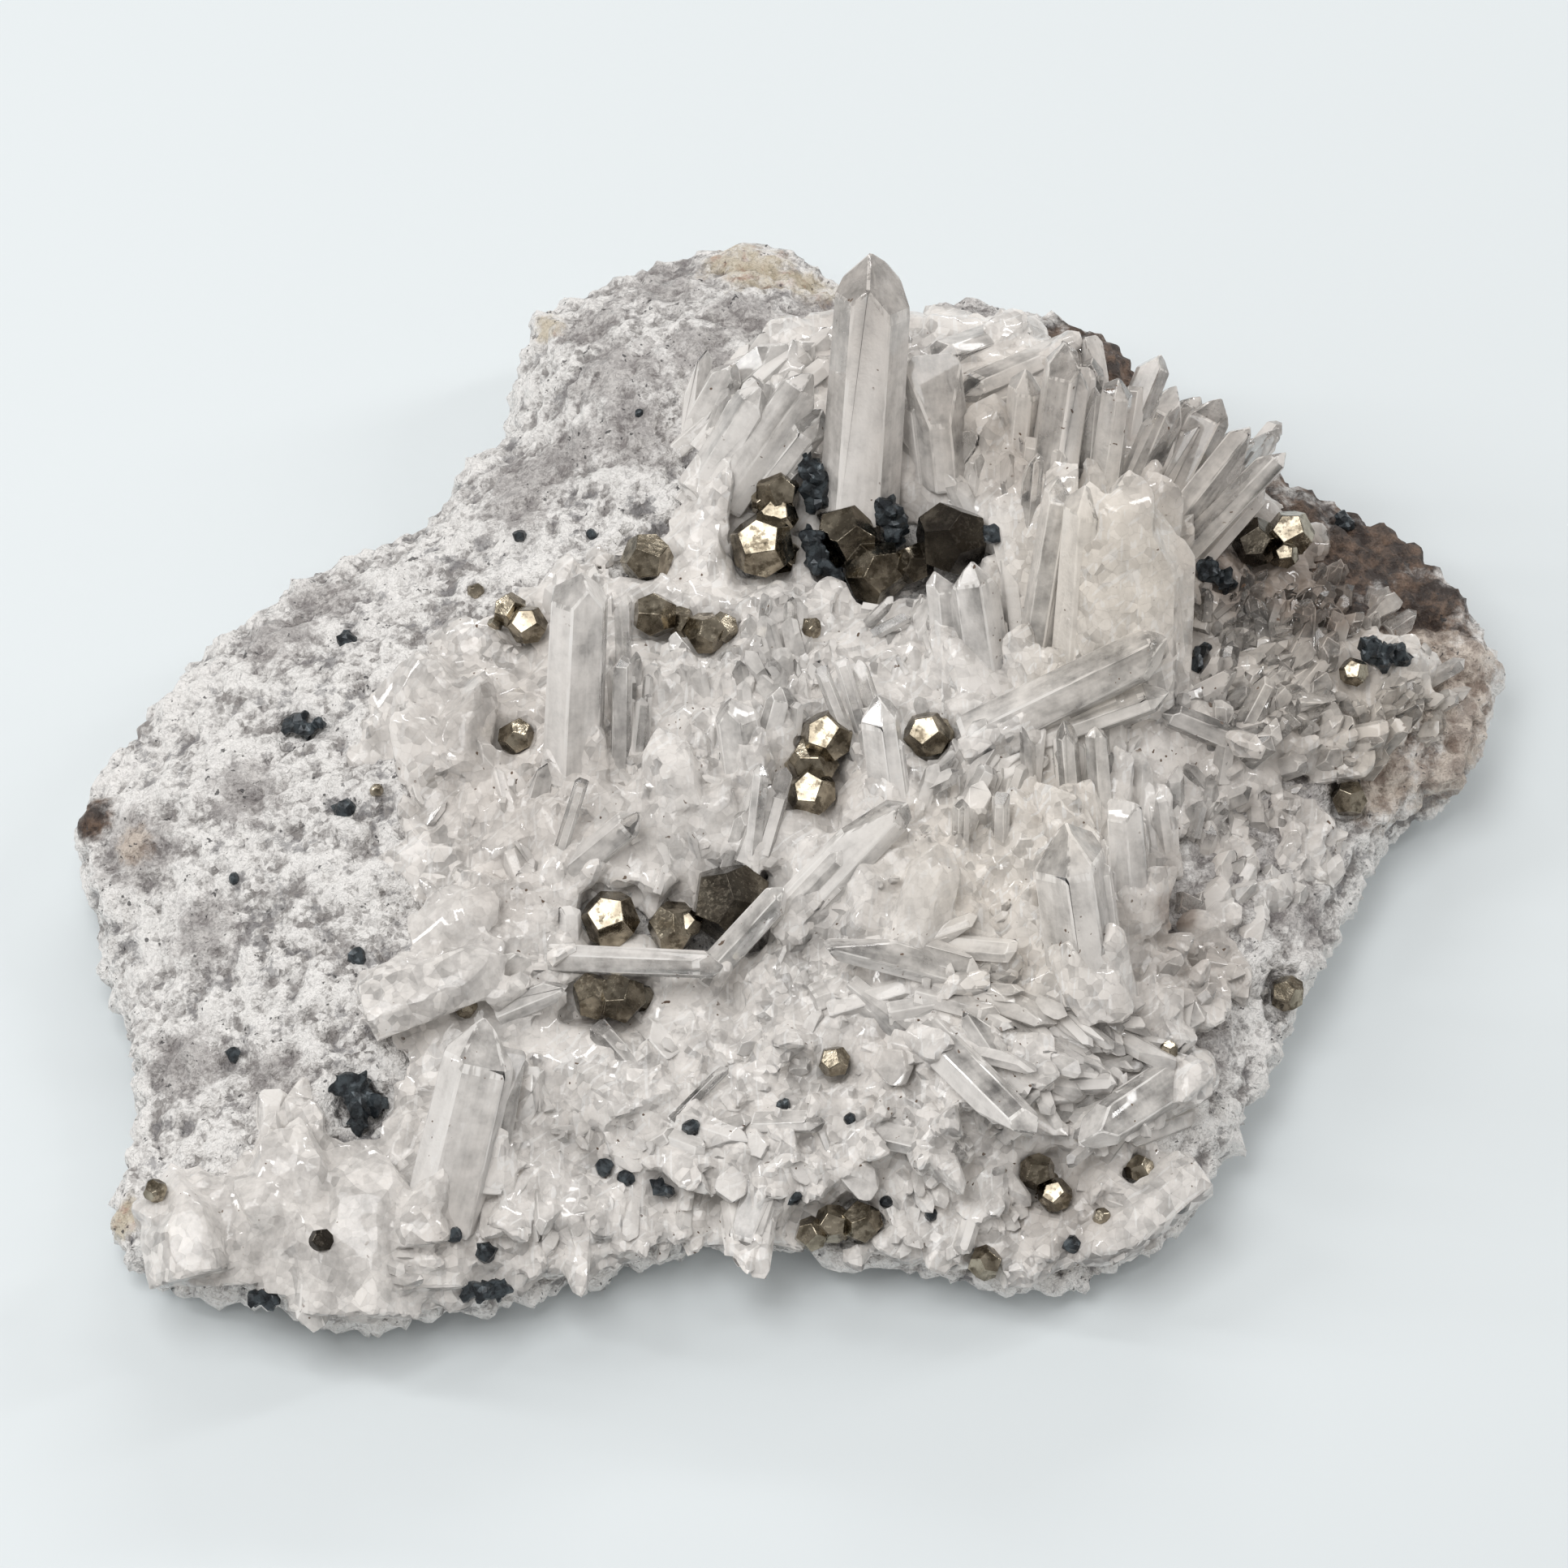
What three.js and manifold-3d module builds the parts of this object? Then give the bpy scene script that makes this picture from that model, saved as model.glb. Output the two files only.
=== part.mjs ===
// A plate of altered rock that carries a druse of quartz crystals, with pyrite crystals and dark
// sphalerite seated in it. Millimetres, +Z up. The plate lies on its flat broken base, and the
// origin is on that base, under the middle of the plate. +X is to the viewer's right and +Y is
// to the back.
import * as THREE from "three";
import { mergeVertices } from "three/addons/utils/BufferGeometryUtils.js";
import { ConvexGeometry } from "three/addons/geometries/ConvexGeometry.js";
import { ImprovedNoise } from "three/addons/math/ImprovedNoise.js";
import Module from "manifold-3d";

// Driving sizes
const PLATE_WIDTH = 160;
const FRONT_RIM_HEIGHT = 6;
const BACK_RIM_HEIGHT = 17;
const FRONT_Y = -62;
const BACK_Y = 62;
const DOME_RISE = 11;
const CRUST_THICKNESS = 2.6;
const CRUST_FADE = 4.5;
const BED_DEPTH = 2;
const ROOT_DEPTH = 3.2;
const SEAT_GAP = 0.35;
const BASE_SHARE = 0.86;

// The picture that the places below are read in, and how it looks at the plate
const PICTURE_SIDE = 1932;
const PLATE_WIDTH_PX = 1738;
const MM_PER_PX = PLATE_WIDTH / PLATE_WIDTH_PX;
const SIGHT_ELEVATION = THREE.MathUtils.degToRad(55);
const SIGHT_DISTANCE = 900;
const SIGHT_AIM = new THREE.Vector3(0, 0, 12);

// Fineness of the rock's faces
const ROCK_COLUMNS = 60;
const ROCK_RINGS = 6;
const CRUST_COLUMNS = 40;
const CRUST_RINGS = 6;
const BED_CELL = 12;
const JITTER_SEED = 7;
const DRUSE_SEED = 41;
const CLUSTER_SEED = 100;

const wasm = await Module();
wasm.setup();

// Where things are in the picture, in pixels

// The rock's rim, clockwise from its left end
const RIM_PX = [
  [98, 1010],
  [115, 968],
  [185, 878],
  [262, 795],
  [320, 752],
  [365, 715],
  [480, 668],
  [528, 645],
  [572, 578],
  [632, 540],
  [642, 470],
  [655, 392],
  [690, 368],
  [800, 330],
  [905, 303],
  [942, 293],
  [975, 312],
  [1025, 342],
  [1115, 396],
  [1160, 378],
  [1212, 370],
  [1255, 385],
  [1312, 382],
  [1352, 412],
  [1392, 455],
  [1405, 500],
  [1470, 540],
  [1570, 585],
  [1640, 610],
  [1740, 672],
  [1785, 725],
  [1835, 790],
  [1826, 880],
  [1805, 942],
  [1715, 995],
  [1652, 1070],
  [1618, 1168],
  [1600, 1222],
  [1572, 1290],
  [1520, 1385],
  [1490, 1450],
  [1440, 1508],
  [1340, 1556],
  [1250, 1572],
  [1150, 1548],
  [1030, 1538],
  [900, 1520],
  [850, 1520],
  [740, 1552],
  [640, 1592],
  [530, 1608],
  [440, 1622],
  [380, 1620],
  [300, 1582],
  [165, 1548],
  [138, 1478],
  [172, 1425],
  [163, 1330],
  [184, 1288],
  [148, 1235],
  [133, 1130],
  [104, 1045],
];

// The quartz druse's edge on the rock, clockwise. It runs past the rim where the druse does.
const DRUSE_EDGE_PX = [
  [900, 400],
  [1010, 372],
  [1120, 388],
  [1290, 395],
  [1325, 440],
  [1400, 500],
  [1470, 480],
  [1580, 520],
  [1615, 590],
  [1640, 690],
  [1740, 745],
  [1790, 830],
  [1780, 930],
  [1700, 985],
  [1600, 1000],
  [1500, 1050],
  [1475, 1160],
  [1545, 1240],
  [1500, 1340],
  [1450, 1400],
  [1490, 1500],
  [1400, 1640],
  [1000, 1640],
  [850, 1600],
  [700, 1660],
  [400, 1740],
  [200, 1600],
  [165, 1490],
  [190, 1435],
  [400, 1395],
  [500, 1350],
  [450, 1235],
  [560, 1170],
  [505, 1090],
  [420, 1000],
  [440, 900],
  [520, 815],
  [570, 735],
  [660, 695],
  [760, 655],
  [850, 600],
];

// Swells and hollows of the rock's top
const LANDFORMS = [
  { at: [760, 450], reach: 20, rise: 3.5 },
  { at: [1230, 450], reach: 22, rise: 5 },
  { at: [1040, 690], reach: 13, rise: -4.5 },
  { at: [950, 930], reach: 18, rise: 2.5 },
  { at: [1360, 760], reach: 14, rise: 3 },
  { at: [1490, 780], reach: 9, rise: -4.5 },
  { at: [1710, 850], reach: 14, rise: 2.5 },
  { at: [830, 1170], reach: 13, rise: -4 },
  { at: [1300, 1160], reach: 22, rise: 4.5 },
  { at: [1445, 1120], reach: 5, rise: -4 },
  { at: [320, 1480], reach: 15, rise: 4 },
  { at: [300, 1050], reach: 20, rise: 1.5 },
  { at: [640, 1410], reach: 12, rise: -2 },
];

// Standing and lying crystals that stand out: foot and tip, how much higher the tip is, and the
// width between flats. Rise and width are in millimetres.
const CRYSTALS = [
  { foot: [1056, 606], tip: [1076, 316], rise: 24, width: 9.2 },
  { foot: [905, 600], tip: [1002, 460], rise: 10, width: 6.4 },
  { foot: [872, 590], tip: [940, 478], rise: 9, width: 5.4 },
  { foot: [945, 590], tip: [1012, 505], rise: 8, width: 5.2 },
  { foot: [1298, 438], tip: [1184, 486], rise: 4.5, width: 4 },
  { foot: [1162, 570], tip: [1148, 440], rise: 11, width: 7.6 },
  { foot: [1215, 560], tip: [1222, 480], rise: 7, width: 6 },
  { foot: [1290, 610], tip: [1318, 423], rise: 14, width: 7.2 },
  { foot: [1362, 600], tip: [1380, 466], rise: 12, width: 3.8 },
  { foot: [1398, 606], tip: [1453, 478], rise: 9, width: 4.8 },
  { foot: [1440, 612], tip: [1502, 490], rise: 8, width: 5.6 },
  { foot: [1448, 655], tip: [1546, 531], rise: 8, width: 5 },
  { foot: [1462, 680], tip: [1582, 556], rise: 7, width: 4.2 },
  { foot: [1498, 622], tip: [1574, 526], rise: 5, width: 3.4 },
  { foot: [1254, 800], tip: [1276, 558], rise: 17, width: 2.4 },
  { foot: [1270, 820], tip: [1308, 588], rise: 18, width: 5 },
  { foot: [1322, 836], tip: [1340, 598], rise: 19, width: 6.2 },
  { foot: [1382, 850], tip: [1386, 576], rise: 20, width: 7.6 },
  { foot: [1428, 842], tip: [1436, 652], rise: 15, width: 5.4 },
  { foot: [1216, 900], tip: [1440, 790], rise: 8, width: 6 },
  { foot: [1262, 915], tip: [1440, 852], rise: 4, width: 4.6 },
  { foot: [1216, 822], tip: [1196, 690], rise: 11, width: 6.8 },
  { foot: [1166, 806], tip: [1156, 704], rise: 8, width: 4.2 },
  { foot: [702, 935], tip: [713, 702], rise: 18, width: 7.2 },
  { foot: [766, 935], tip: [768, 807], rise: 9, width: 2.6 },
  { foot: [724, 1056], tip: [789, 1002], rise: 5, width: 3.6 },
  { foot: [925, 1062], tip: [938, 941], rise: 9, width: 2 },
  { foot: [1098, 982], tip: [1081, 858], rise: 10, width: 5 },
  { foot: [1052, 928], tip: [1010, 822], rise: 8, width: 2 },
  { foot: [1064, 905], tip: [1035, 811], rise: 7, width: 2 },
  { foot: [915, 935], tip: [903, 858], rise: 6, width: 5.2 },
  { foot: [828, 965], tip: [814, 893], rise: 5, width: 6 },
  { foot: [978, 1124], tip: [1112, 984], rise: 9, width: 5 },
  { foot: [884, 1186], tip: [968, 1094], rise: 8, width: 3.6 },
  { foot: [706, 1182], tip: [890, 1189], rise: 3.5, width: 3.6 },
  { foot: [1184, 1202], tip: [1018, 1160], rise: 5, width: 4.2 },
  { foot: [1338, 1198], tip: [1312, 1016], rise: 14, width: 8.6 },
  { foot: [1396, 1112], tip: [1386, 984], rise: 10, width: 5.2 },
  { foot: [1320, 986], tip: [1312, 888], rise: 8, width: 3.4 },
  { foot: [1356, 982], tip: [1350, 894], rise: 7, width: 3 },
  { foot: [1232, 1037], tip: [1233, 976], rise: 5, width: 2.4 },
  { foot: [1160, 1290], tip: [1272, 1402], rise: 3, width: 4.6 },
  { foot: [1075, 1396], tip: [1193, 1424], rise: 2, width: 3.4 },
  { foot: [1442, 1334], tip: [1334, 1404], rise: 3, width: 5 },
  { foot: [1250, 1330], tip: [1190, 1240], rise: 5, width: 4.4 },
  { foot: [1452, 1462], tip: [1328, 1560], rise: -1.5, width: 6.2 },
  { foot: [940, 1462], tip: [908, 1560], rise: -3, width: 4.6 },
  { foot: [388, 1555], tip: [380, 1641], rise: -4, width: 4.4 },
  { foot: [545, 1485], tip: [600, 1256], rise: 14, width: 8.6 },
  { foot: [604, 1432], tip: [630, 1292], rise: 8, width: 4.2 },
  { foot: [342, 1524], tip: [350, 1418], rise: 7, width: 6.2 },
  { foot: [440, 1528], tip: [452, 1408], rise: 6, width: 9 },
  { foot: [240, 1510], tip: [236, 1428], rise: 5, width: 8 },
  { foot: [478, 1232], tip: [630, 1178], rise: 4, width: 7.6 },
  { foot: [540, 1144], tip: [618, 1108], rise: 4, width: 6 },
  { foot: [792, 1330], tip: [732, 1262], rise: 3, width: 3.2 },
  { foot: [958, 1384], tip: [1016, 1382], rise: 2, width: 3 },
  { foot: [1528, 916], tip: [1432, 877], rise: 3, width: 3.4 },
  { foot: [860, 1095], tip: [850, 1010], rise: 6, width: 7.4 },
  { foot: [570, 905], tip: [585, 822], rise: 5, width: 8 },
  { foot: [1130, 1150], tip: [1165, 1040], rise: 7, width: 6 },
];

// Pyrite crystals, by the group that each has grown in. A crystal's width is between two
// opposite faces. One that faces the viewer turns a face to the light, spun by that many degrees.
const PYRITE = {
  pyrite_at_spire_left: [
    { at: [958, 607], width: 4.4, lift: 1.4 },
    { at: [958, 636], width: 4, lift: 0.8, spin: 10 },
    { at: [939, 672], width: 6.2, lift: 0.5, spin: 0 },
  ],
  pyrite_at_spire_middle: [
    { at: [1046, 660], width: 6.6, lift: 0.8 },
    { at: [1078, 702], width: 6.4, lift: 0.3 },
    { at: [1126, 694], width: 4, lift: 0.3 },
    { at: [1172, 664], width: 7, lift: 0.5 },
  ],
  pyrite_back_left: [{ at: [797, 689], width: 5, lift: 0.5 }],
  pyrite_back_middle: [{ at: [807, 758], width: 4.4, lift: 0.6 }],
  pyrite_back_pair: [
    { at: [869, 780], width: 4, lift: 0.5 },
    { at: [891, 773], width: 3, lift: 0.2 },
  ],
  pyrite_at_blade_left: [
    { at: [628, 752], width: 3.4, lift: 0.6 },
    { at: [650, 770], width: 3.8, lift: 0.8, spin: 24 },
  ],
  pyrite_middle: [{ at: [1018, 908], width: 5, lift: 0.6, spin: 50 }],
  pyrite_middle_low: [{ at: [1000, 976], width: 4.6, lift: 0.2, spin: 64 }],
  pyrite_middle_right: [{ at: [1142, 905], width: 4.4, lift: 0.2, spin: 30 }],
  pyrite_blade_root: [{ at: [636, 908], width: 3.4, lift: 0.3 }],
  pyrite_front_left: [{ at: [752, 1132], width: 5.4, lift: 0.6, spin: 12 }],
  pyrite_front_middle: [
    { at: [830, 1142], width: 4.8, lift: 0.5 },
    { at: [848, 1138], width: 2.6, lift: 1.6, spin: 44 },
    { at: [900, 1112], width: 7.6, lift: 0.6 },
  ],
  pyrite_under_bar: [
    { at: [735, 1226], width: 4.6, lift: 0 },
    { at: [764, 1230], width: 4.8, lift: 0.2 },
  ],
  pyrite_front_single: [{ at: [1028, 1308], width: 3, lift: 0.2 }],
  pyrite_right: [
    { at: [1547, 668], width: 4.6, lift: 0.5 },
    { at: [1590, 657], width: 4.6, lift: 0.9, spin: 20 },
    { at: [1584, 684], width: 2.6, lift: 0.6, spin: 0 },
  ],
  pyrite_right_lobe: [{ at: [1668, 828], width: 2.8, lift: 0.5, spin: 70 }],
  pyrite_right_rim: [{ at: [1662, 984], width: 3.6, lift: 0.2 }],
  pyrite_right_low_rim: [{ at: [1586, 1224], width: 3.4, lift: 0.4 }],
  pyrite_front_right: [
    { at: [1278, 1444], width: 3.4, lift: 0.4 },
    { at: [1300, 1472], width: 3.2, lift: 0.4, spin: 36 },
  ],
  pyrite_front_far_right: [{ at: [1404, 1441], width: 2.8, lift: 0.5 }],
  pyrite_front_edge: [
    { at: [1000, 1520], width: 3.2, lift: 0.4 },
    { at: [1026, 1508], width: 3.6, lift: 0.3 },
    { at: [1060, 1506], width: 4, lift: 0.3 },
  ],
  pyrite_front_corner: [{ at: [1214, 1556], width: 3.2, lift: 0.3 }],
};

// Lumps of dark sphalerite, by cluster. Width is each lump's own.
const SPHALERITE = {
  sphalerite_at_spire: [
    { at: [991, 556], width: 2.2, lift: 4.2 },
    { at: [1000, 584], width: 4.6, lift: 3 },
    { at: [1004, 612], width: 4.4, lift: 2 },
  ],
  sphalerite_between_pyrites: [
    { at: [998, 662], width: 3.6, lift: 1.8 },
    { at: [1008, 690], width: 4, lift: 1 },
    { at: [1028, 710], width: 3.6, lift: 0.2 },
  ],
  sphalerite_on_pyrite: [
    { at: [1092, 626], width: 3.6, lift: 2 },
    { at: [1104, 642], width: 4.2, lift: 1.4 },
    { at: [1100, 664], width: 2.8, lift: 1.2 },
  ],
  sphalerite_on_rock_left: [
    { at: [356, 896], width: 2.6, lift: 0.4 },
    { at: [368, 884], width: 2.2, lift: 0.5 },
    { at: [374, 900], width: 2.6, lift: 0.4 },
    { at: [392, 892], width: 1.8, lift: 0.3 },
  ],
  sphalerite_front_left: [
    { at: [420, 1336], width: 3, lift: 0.6 },
    { at: [442, 1334], width: 3, lift: 0.7 },
    { at: [438, 1360], width: 3.6, lift: 0.4 },
    { at: [440, 1382], width: 3, lift: 0.3 },
    { at: [464, 1362], width: 3.2, lift: 0.6 },
  ],
  sphalerite_right_gap: [
    { at: [1486, 702], width: 3.4, lift: 0.4 },
    { at: [1508, 716], width: 3.2, lift: 0.4 },
  ],
  sphalerite_right_hollow: [
    { at: [1481, 804], width: 2.8, lift: 0.3 },
    { at: [1468, 818], width: 2.8, lift: 0.2 },
  ],
  sphalerite_right_lobe: [
    { at: [1686, 802], width: 3.6, lift: 0.4 },
    { at: [1704, 808], width: 3.8, lift: 0.4 },
    { at: [1724, 808], width: 3.4, lift: 0.3 },
  ],
  sphalerite_right_back: [{ at: [1656, 643], width: 2.8, lift: 0.5 }],
  sphalerite_front_middle: [
    { at: [810, 1460], width: 2.4, lift: 0.3 },
    { at: [824, 1470], width: 2.4, lift: 0.3 },
  ],
  sphalerite_front_edge: [
    { at: [580, 1588], width: 3, lift: 0.4 },
    { at: [598, 1592], width: 3, lift: 0.4 },
    { at: [616, 1586], width: 3, lift: 0.4 },
  ],
  sphalerite_left_corner: [
    { at: [316, 1598], width: 2.8, lift: 0.5 },
    { at: [330, 1600], width: 2.8, lift: 0.5 },
  ],
};

// Numbers that repeat each time, between 0 and 1
function seededRandom(seed) {
  let state = seed;
  return () => {
    state = (state * 1664525 + 1013904223) % 4294967296;
    return state / 4294967296;
  };
}

const perlin = new ImprovedNoise();

function noise(x, y, size, layer) {
  return perlin.noise(x / size, y / size, layer);
}

// The eye, and the place at height z behind a pixel
const forward = new THREE.Vector3(0, Math.cos(SIGHT_ELEVATION), -Math.sin(SIGHT_ELEVATION));
const upward = new THREE.Vector3(0, Math.sin(SIGHT_ELEVATION), Math.cos(SIGHT_ELEVATION));
const eye = SIGHT_AIM.clone().addScaledVector(forward, -SIGHT_DISTANCE);

function placeAt([u, v], z) {
  const across = (u - PICTURE_SIDE / 2) * MM_PER_PX;
  const up = (PICTURE_SIDE / 2 - v) * MM_PER_PX;
  const ray = forward.clone().multiplyScalar(SIGHT_DISTANCE).addScaledVector(upward, up);
  ray.x += across;
  return eye.clone().addScaledVector(ray, (z - eye.z) / ray.z);
}

function onSurface(pixel, heightOf, lift = 0) {
  let z = SIGHT_AIM.z;
  for (let pass = 0; pass < 40; pass++) {
    const p = placeAt(pixel, z);
    z += 0.5 * (heightOf(p.x, p.y) + lift - z);
  }
  return placeAt(pixel, z);
}

// The plate's plan: its rim as evenly spaced points, and how far out a place is towards it
function rimHeight(x, y) {
  const back = THREE.MathUtils.clamp((y - FRONT_Y) / (BACK_Y - FRONT_Y), 0, 1);
  return THREE.MathUtils.lerp(FRONT_RIM_HEIGHT, BACK_RIM_HEIGHT, back);
}

const middle = placeAt([PICTURE_SIDE / 2, PICTURE_SIDE / 2], SIGHT_AIM.z).setZ(0);
const rimCorners = RIM_PX.map((pixel) => onSurface(pixel, rimHeight).setZ(0));
const rimLine = new THREE.CatmullRomCurve3(rimCorners, true, "centripetal");

function rimPoints(columns) {
  return rimLine.getSpacedPoints(columns).slice(0, columns).reverse();
}

const rim = rimPoints(ROCK_COLUMNS);

function share(x, y) {
  const dx = x - middle.x;
  const dy = y - middle.y;
  const far = Math.hypot(dx, dy);
  if (far < 1e-6) return 0;
  for (let i = 0; i < rim.length; i++) {
    const a = rim[i];
    const b = rim[(i + 1) % rim.length];
    const ex = b.x - a.x;
    const ey = b.y - a.y;
    const cross = dx * ey - dy * ex;
    if (Math.abs(cross) < 1e-9) continue;
    const along = ((a.x - middle.x) * ey - (a.y - middle.y) * ex) / cross;
    const on = ((a.x - middle.x) * dy - (a.y - middle.y) * dx) / cross;
    if (along > 0 && on >= 0 && on <= 1) return 1 / along;
  }
  return 1;
}

// How deep inside a closed outline a place is, in mm, and below 0 outside it
function depthInside(outline, x, y) {
  let inside = false;
  let nearest = Infinity;
  outline.forEach((a, i) => {
    const b = outline[(i + 1) % outline.length];
    const ex = b.x - a.x;
    const ey = b.y - a.y;
    const along = ((x - a.x) * ex + (y - a.y) * ey) / (ex * ex + ey * ey);
    const t = THREE.MathUtils.clamp(along, 0, 1);
    nearest = Math.min(nearest, Math.hypot(x - a.x - t * ex, y - a.y - t * ey));
    if (a.y > y !== b.y > y && x < a.x + ((y - a.y) / ey) * ex) inside = !inside;
  });
  return inside ? nearest : -nearest;
}

const landforms = LANDFORMS.map((form) => ({ ...form, centre: placeAt(form.at, 22) }));

function rockTop(x, y) {
  const out = Math.min(1, share(x, y));
  let z = rimHeight(x, y) + DOME_RISE * (1 - out ** 3);
  for (const form of landforms) {
    const near = Math.hypot(x - form.centre.x, y - form.centre.y) / form.reach;
    z += form.rise * Math.exp(-near * near) * (1 - out ** 6);
  }
  return z + 1.6 * noise(x, y, 11, 0.5) + 0.9 * noise(x, y, 5, 3.5);
}

const druseEdge = DRUSE_EDGE_PX.map((pixel) => onSurface(pixel, rockTop).setZ(0));

function crustDepth(x, y) {
  const into = depthInside(druseEdge, x, y) + 2.5 * noise(x, y, 7, 8.5);
  const full = THREE.MathUtils.smoothstep(into, -1, CRUST_FADE);
  const lumps = 1.1 * noise(x, y, 6, 12.5);
  return THREE.MathUtils.lerp(-1.8, CRUST_THICKNESS + lumps, full);
}

function crustTop(x, y) {
  return rockTop(x, y) + Math.max(0, crustDepth(x, y));
}

// A plate-shaped body: rings of points over its top, then down its broken side to a flat base.
// Each side row has a share of the rim's height, and a distance out from the rim.
const SIDE_ROWS = [
  { level: 1, out: 0 },
  { level: 0.62, out: 0.9 },
  { level: 0.3, out: -1.4 },
];

function plateBody(columns, rings, heightOf, outwardOf) {
  const edges = rimPoints(columns);
  const points = [];
  const faces = [];
  const random = seededRandom(JITTER_SEED);
  const ringStart = [];
  const addRing = (place) => {
    ringStart.push(points.length);
    edges.forEach((edge) => points.push(place(edge)));
  };
  points.push(new THREE.Vector3(middle.x, middle.y, heightOf(middle.x, middle.y)));
  for (let ring = 1; ring < rings; ring++) {
    addRing((edge) => {
      const t = (ring + 0.5 * (random() - 0.5)) / rings;
      const p = middle.clone().lerp(edge, t ** 0.8);
      p.x += 1.2 * (random() - 0.5);
      p.y += 1.2 * (random() - 0.5);
      return p.setZ(heightOf(p.x, p.y));
    });
  }
  SIDE_ROWS.forEach((row) => {
    addRing((edge) => {
      const outward = edge.clone().sub(middle).normalize();
      const rough = row.level < 1 ? 2.4 * (random() - 0.5) : 0;
      const p = edge.clone().addScaledVector(outward, row.out + rough + outwardOf(edge, row.level));
      return p.setZ(row.level * heightOf(edge.x, edge.y));
    });
  });
  addRing((edge) => middle.clone().lerp(edge, BASE_SHARE).setZ(0));
  const baseMiddle = points.push(middle.clone().setZ(0)) - 1;
  const next = (column) => (column + 1) % columns;
  edges.forEach((_, column) => faces.push(0, ringStart[0] + column, ringStart[0] + next(column)));
  for (let ring = 1; ring < ringStart.length; ring++) {
    edges.forEach((_, column) => {
      const inner = ringStart[ring - 1];
      const outer = ringStart[ring];
      const corners = [inner + column, outer + column, outer + next(column), inner + next(column)];
      const [a, b, c, d] = corners;
      if ((ring + column) % 2) faces.push(a, b, c, a, c, d);
      else faces.push(a, b, d, b, c, d);
    });
  }
  const last = ringStart[ringStart.length - 1];
  edges.forEach((_, column) => faces.push(baseMiddle, last + next(column), last + column));
  const geometry = new THREE.BufferGeometry().setFromPoints(points);
  geometry.setIndex(faces);
  return geometry;
}

// The surface that the druse grew on: below the rock's top under the druse, above it elsewhere.
// It is a block with that surface as its top, wider than the plate.
function bedBlock() {
  const cells = Math.ceil((1.2 * PLATE_WIDTH) / BED_CELL);
  const half = (cells * BED_CELL) / 2;
  const block = new THREE.BoxGeometry(2 * half, 2 * half, 20, cells, cells, 1);
  block.translate(0, 0, -10);
  const place = block.attributes.position;
  for (let i = 0; i < place.count; i++) {
    const x = place.getX(i);
    const y = place.getY(i);
    const under = THREE.MathUtils.smoothstep(depthInside(druseEdge, x, y), -2, CRUST_FADE);
    const height = rockTop(x, y) + THREE.MathUtils.lerp(3.5, -BED_DEPTH, under);
    if (place.getZ(i) > -1) place.setZ(i, height);
  }
  return solidOf(block);
}

// Solids: a closed geometry as a manifold, and the largest body of a cut one
function solidOf(geometry) {
  const bare = geometry.clone();
  bare.deleteAttribute("normal");
  bare.deleteAttribute("uv");
  const merged = mergeVertices(bare, 1e-4);
  const mesh = new wasm.Mesh({
    numProp: 3,
    vertProperties: new Float32Array(merged.attributes.position.array),
    triVerts: new Uint32Array(merged.index.array),
  });
  return new wasm.Manifold(mesh);
}

function largestBody(solid) {
  const bodies = solid.decompose();
  return bodies.reduce((best, body) => (body.volume() > best.volume() ? body : best));
}

function joined(solids) {
  return solids.reduce((all, solid) => all.add(solid));
}

function geometryOf(solid) {
  const mesh = solid.getMesh();
  const geometry = new THREE.BufferGeometry();
  geometry.setAttribute("position", new THREE.BufferAttribute(new Float32Array(mesh.vertProperties), 3));
  geometry.setIndex(new THREE.BufferAttribute(new Uint32Array(mesh.triVerts), 1));
  geometry.computeVertexNormals();
  return geometry;
}

// One quartz crystal: a six-sided prism that narrows a little towards a six-faced point
function crystalBetween(foot, tip, width, spin, skew) {
  const axis = tip.clone().sub(foot);
  const length = axis.length();
  const corner = width / Math.sqrt(3);
  const cap = Math.min(0.62 * width, 0.45 * length);
  const root = Math.min(ROOT_DEPTH, 1.2 + 0.5 * width);
  const profile = [
    new THREE.Vector2(0, -root),
    new THREE.Vector2(corner, -root),
    new THREE.Vector2(0.92 * corner, length - cap),
    new THREE.Vector2(0, length),
  ];
  const geometry = new THREE.LatheGeometry(profile, 6);
  const place = geometry.attributes.position;
  for (let i = 0; i < place.count; i++) {
    if (place.getY(i) > length - 1e-3) place.setX(i, skew * width);
  }
  geometry.rotateY(spin);
  const turn = new THREE.Quaternion().setFromUnitVectors(new THREE.Vector3(0, 1, 0), axis.normalize());
  geometry.applyQuaternion(turn);
  geometry.translate(foot.x, foot.y, foot.z);
  return solidOf(geometry);
}

function namedCrystals() {
  const random = seededRandom(DRUSE_SEED);
  return CRYSTALS.map((crystal) => {
    const foot = onSurface(crystal.foot, crustTop);
    const tip = placeAt(crystal.tip, foot.z + crystal.rise);
    return crystalBetween(foot, tip, crystal.width, random() * Math.PI, 0.3 * (random() - 0.5));
  });
}

// A pyritohedron, the twelve-faced form of pyrite, about the cube that its long edges lie in.
// The cube is three units wide.
const PYRITE_FACE = new THREE.Vector3(2, 1, 0).normalize();
const PYRITE_INRADIUS = 3 / Math.sqrt(5);
const CUBE_CORNERS = [];
const PYRITE_CORNERS = [];
for (const a of [-1, 1]) {
  for (const b of [-1, 1]) {
    PYRITE_CORNERS.push(new THREE.Vector3(1.5 * a, 0, 0.75 * b));
    PYRITE_CORNERS.push(new THREE.Vector3(0.75 * a, 1.5 * b, 0));
    PYRITE_CORNERS.push(new THREE.Vector3(0, 0.75 * a, 1.5 * b));
    PYRITE_CORNERS.push(new THREE.Vector3(a, b, -1), new THREE.Vector3(a, b, 1));
    CUBE_CORNERS.push(new THREE.Vector3(1.5 * a, 1.5 * b, -1.5), new THREE.Vector3(1.5 * a, 1.5 * b, 1.5));
  }
}

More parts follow.
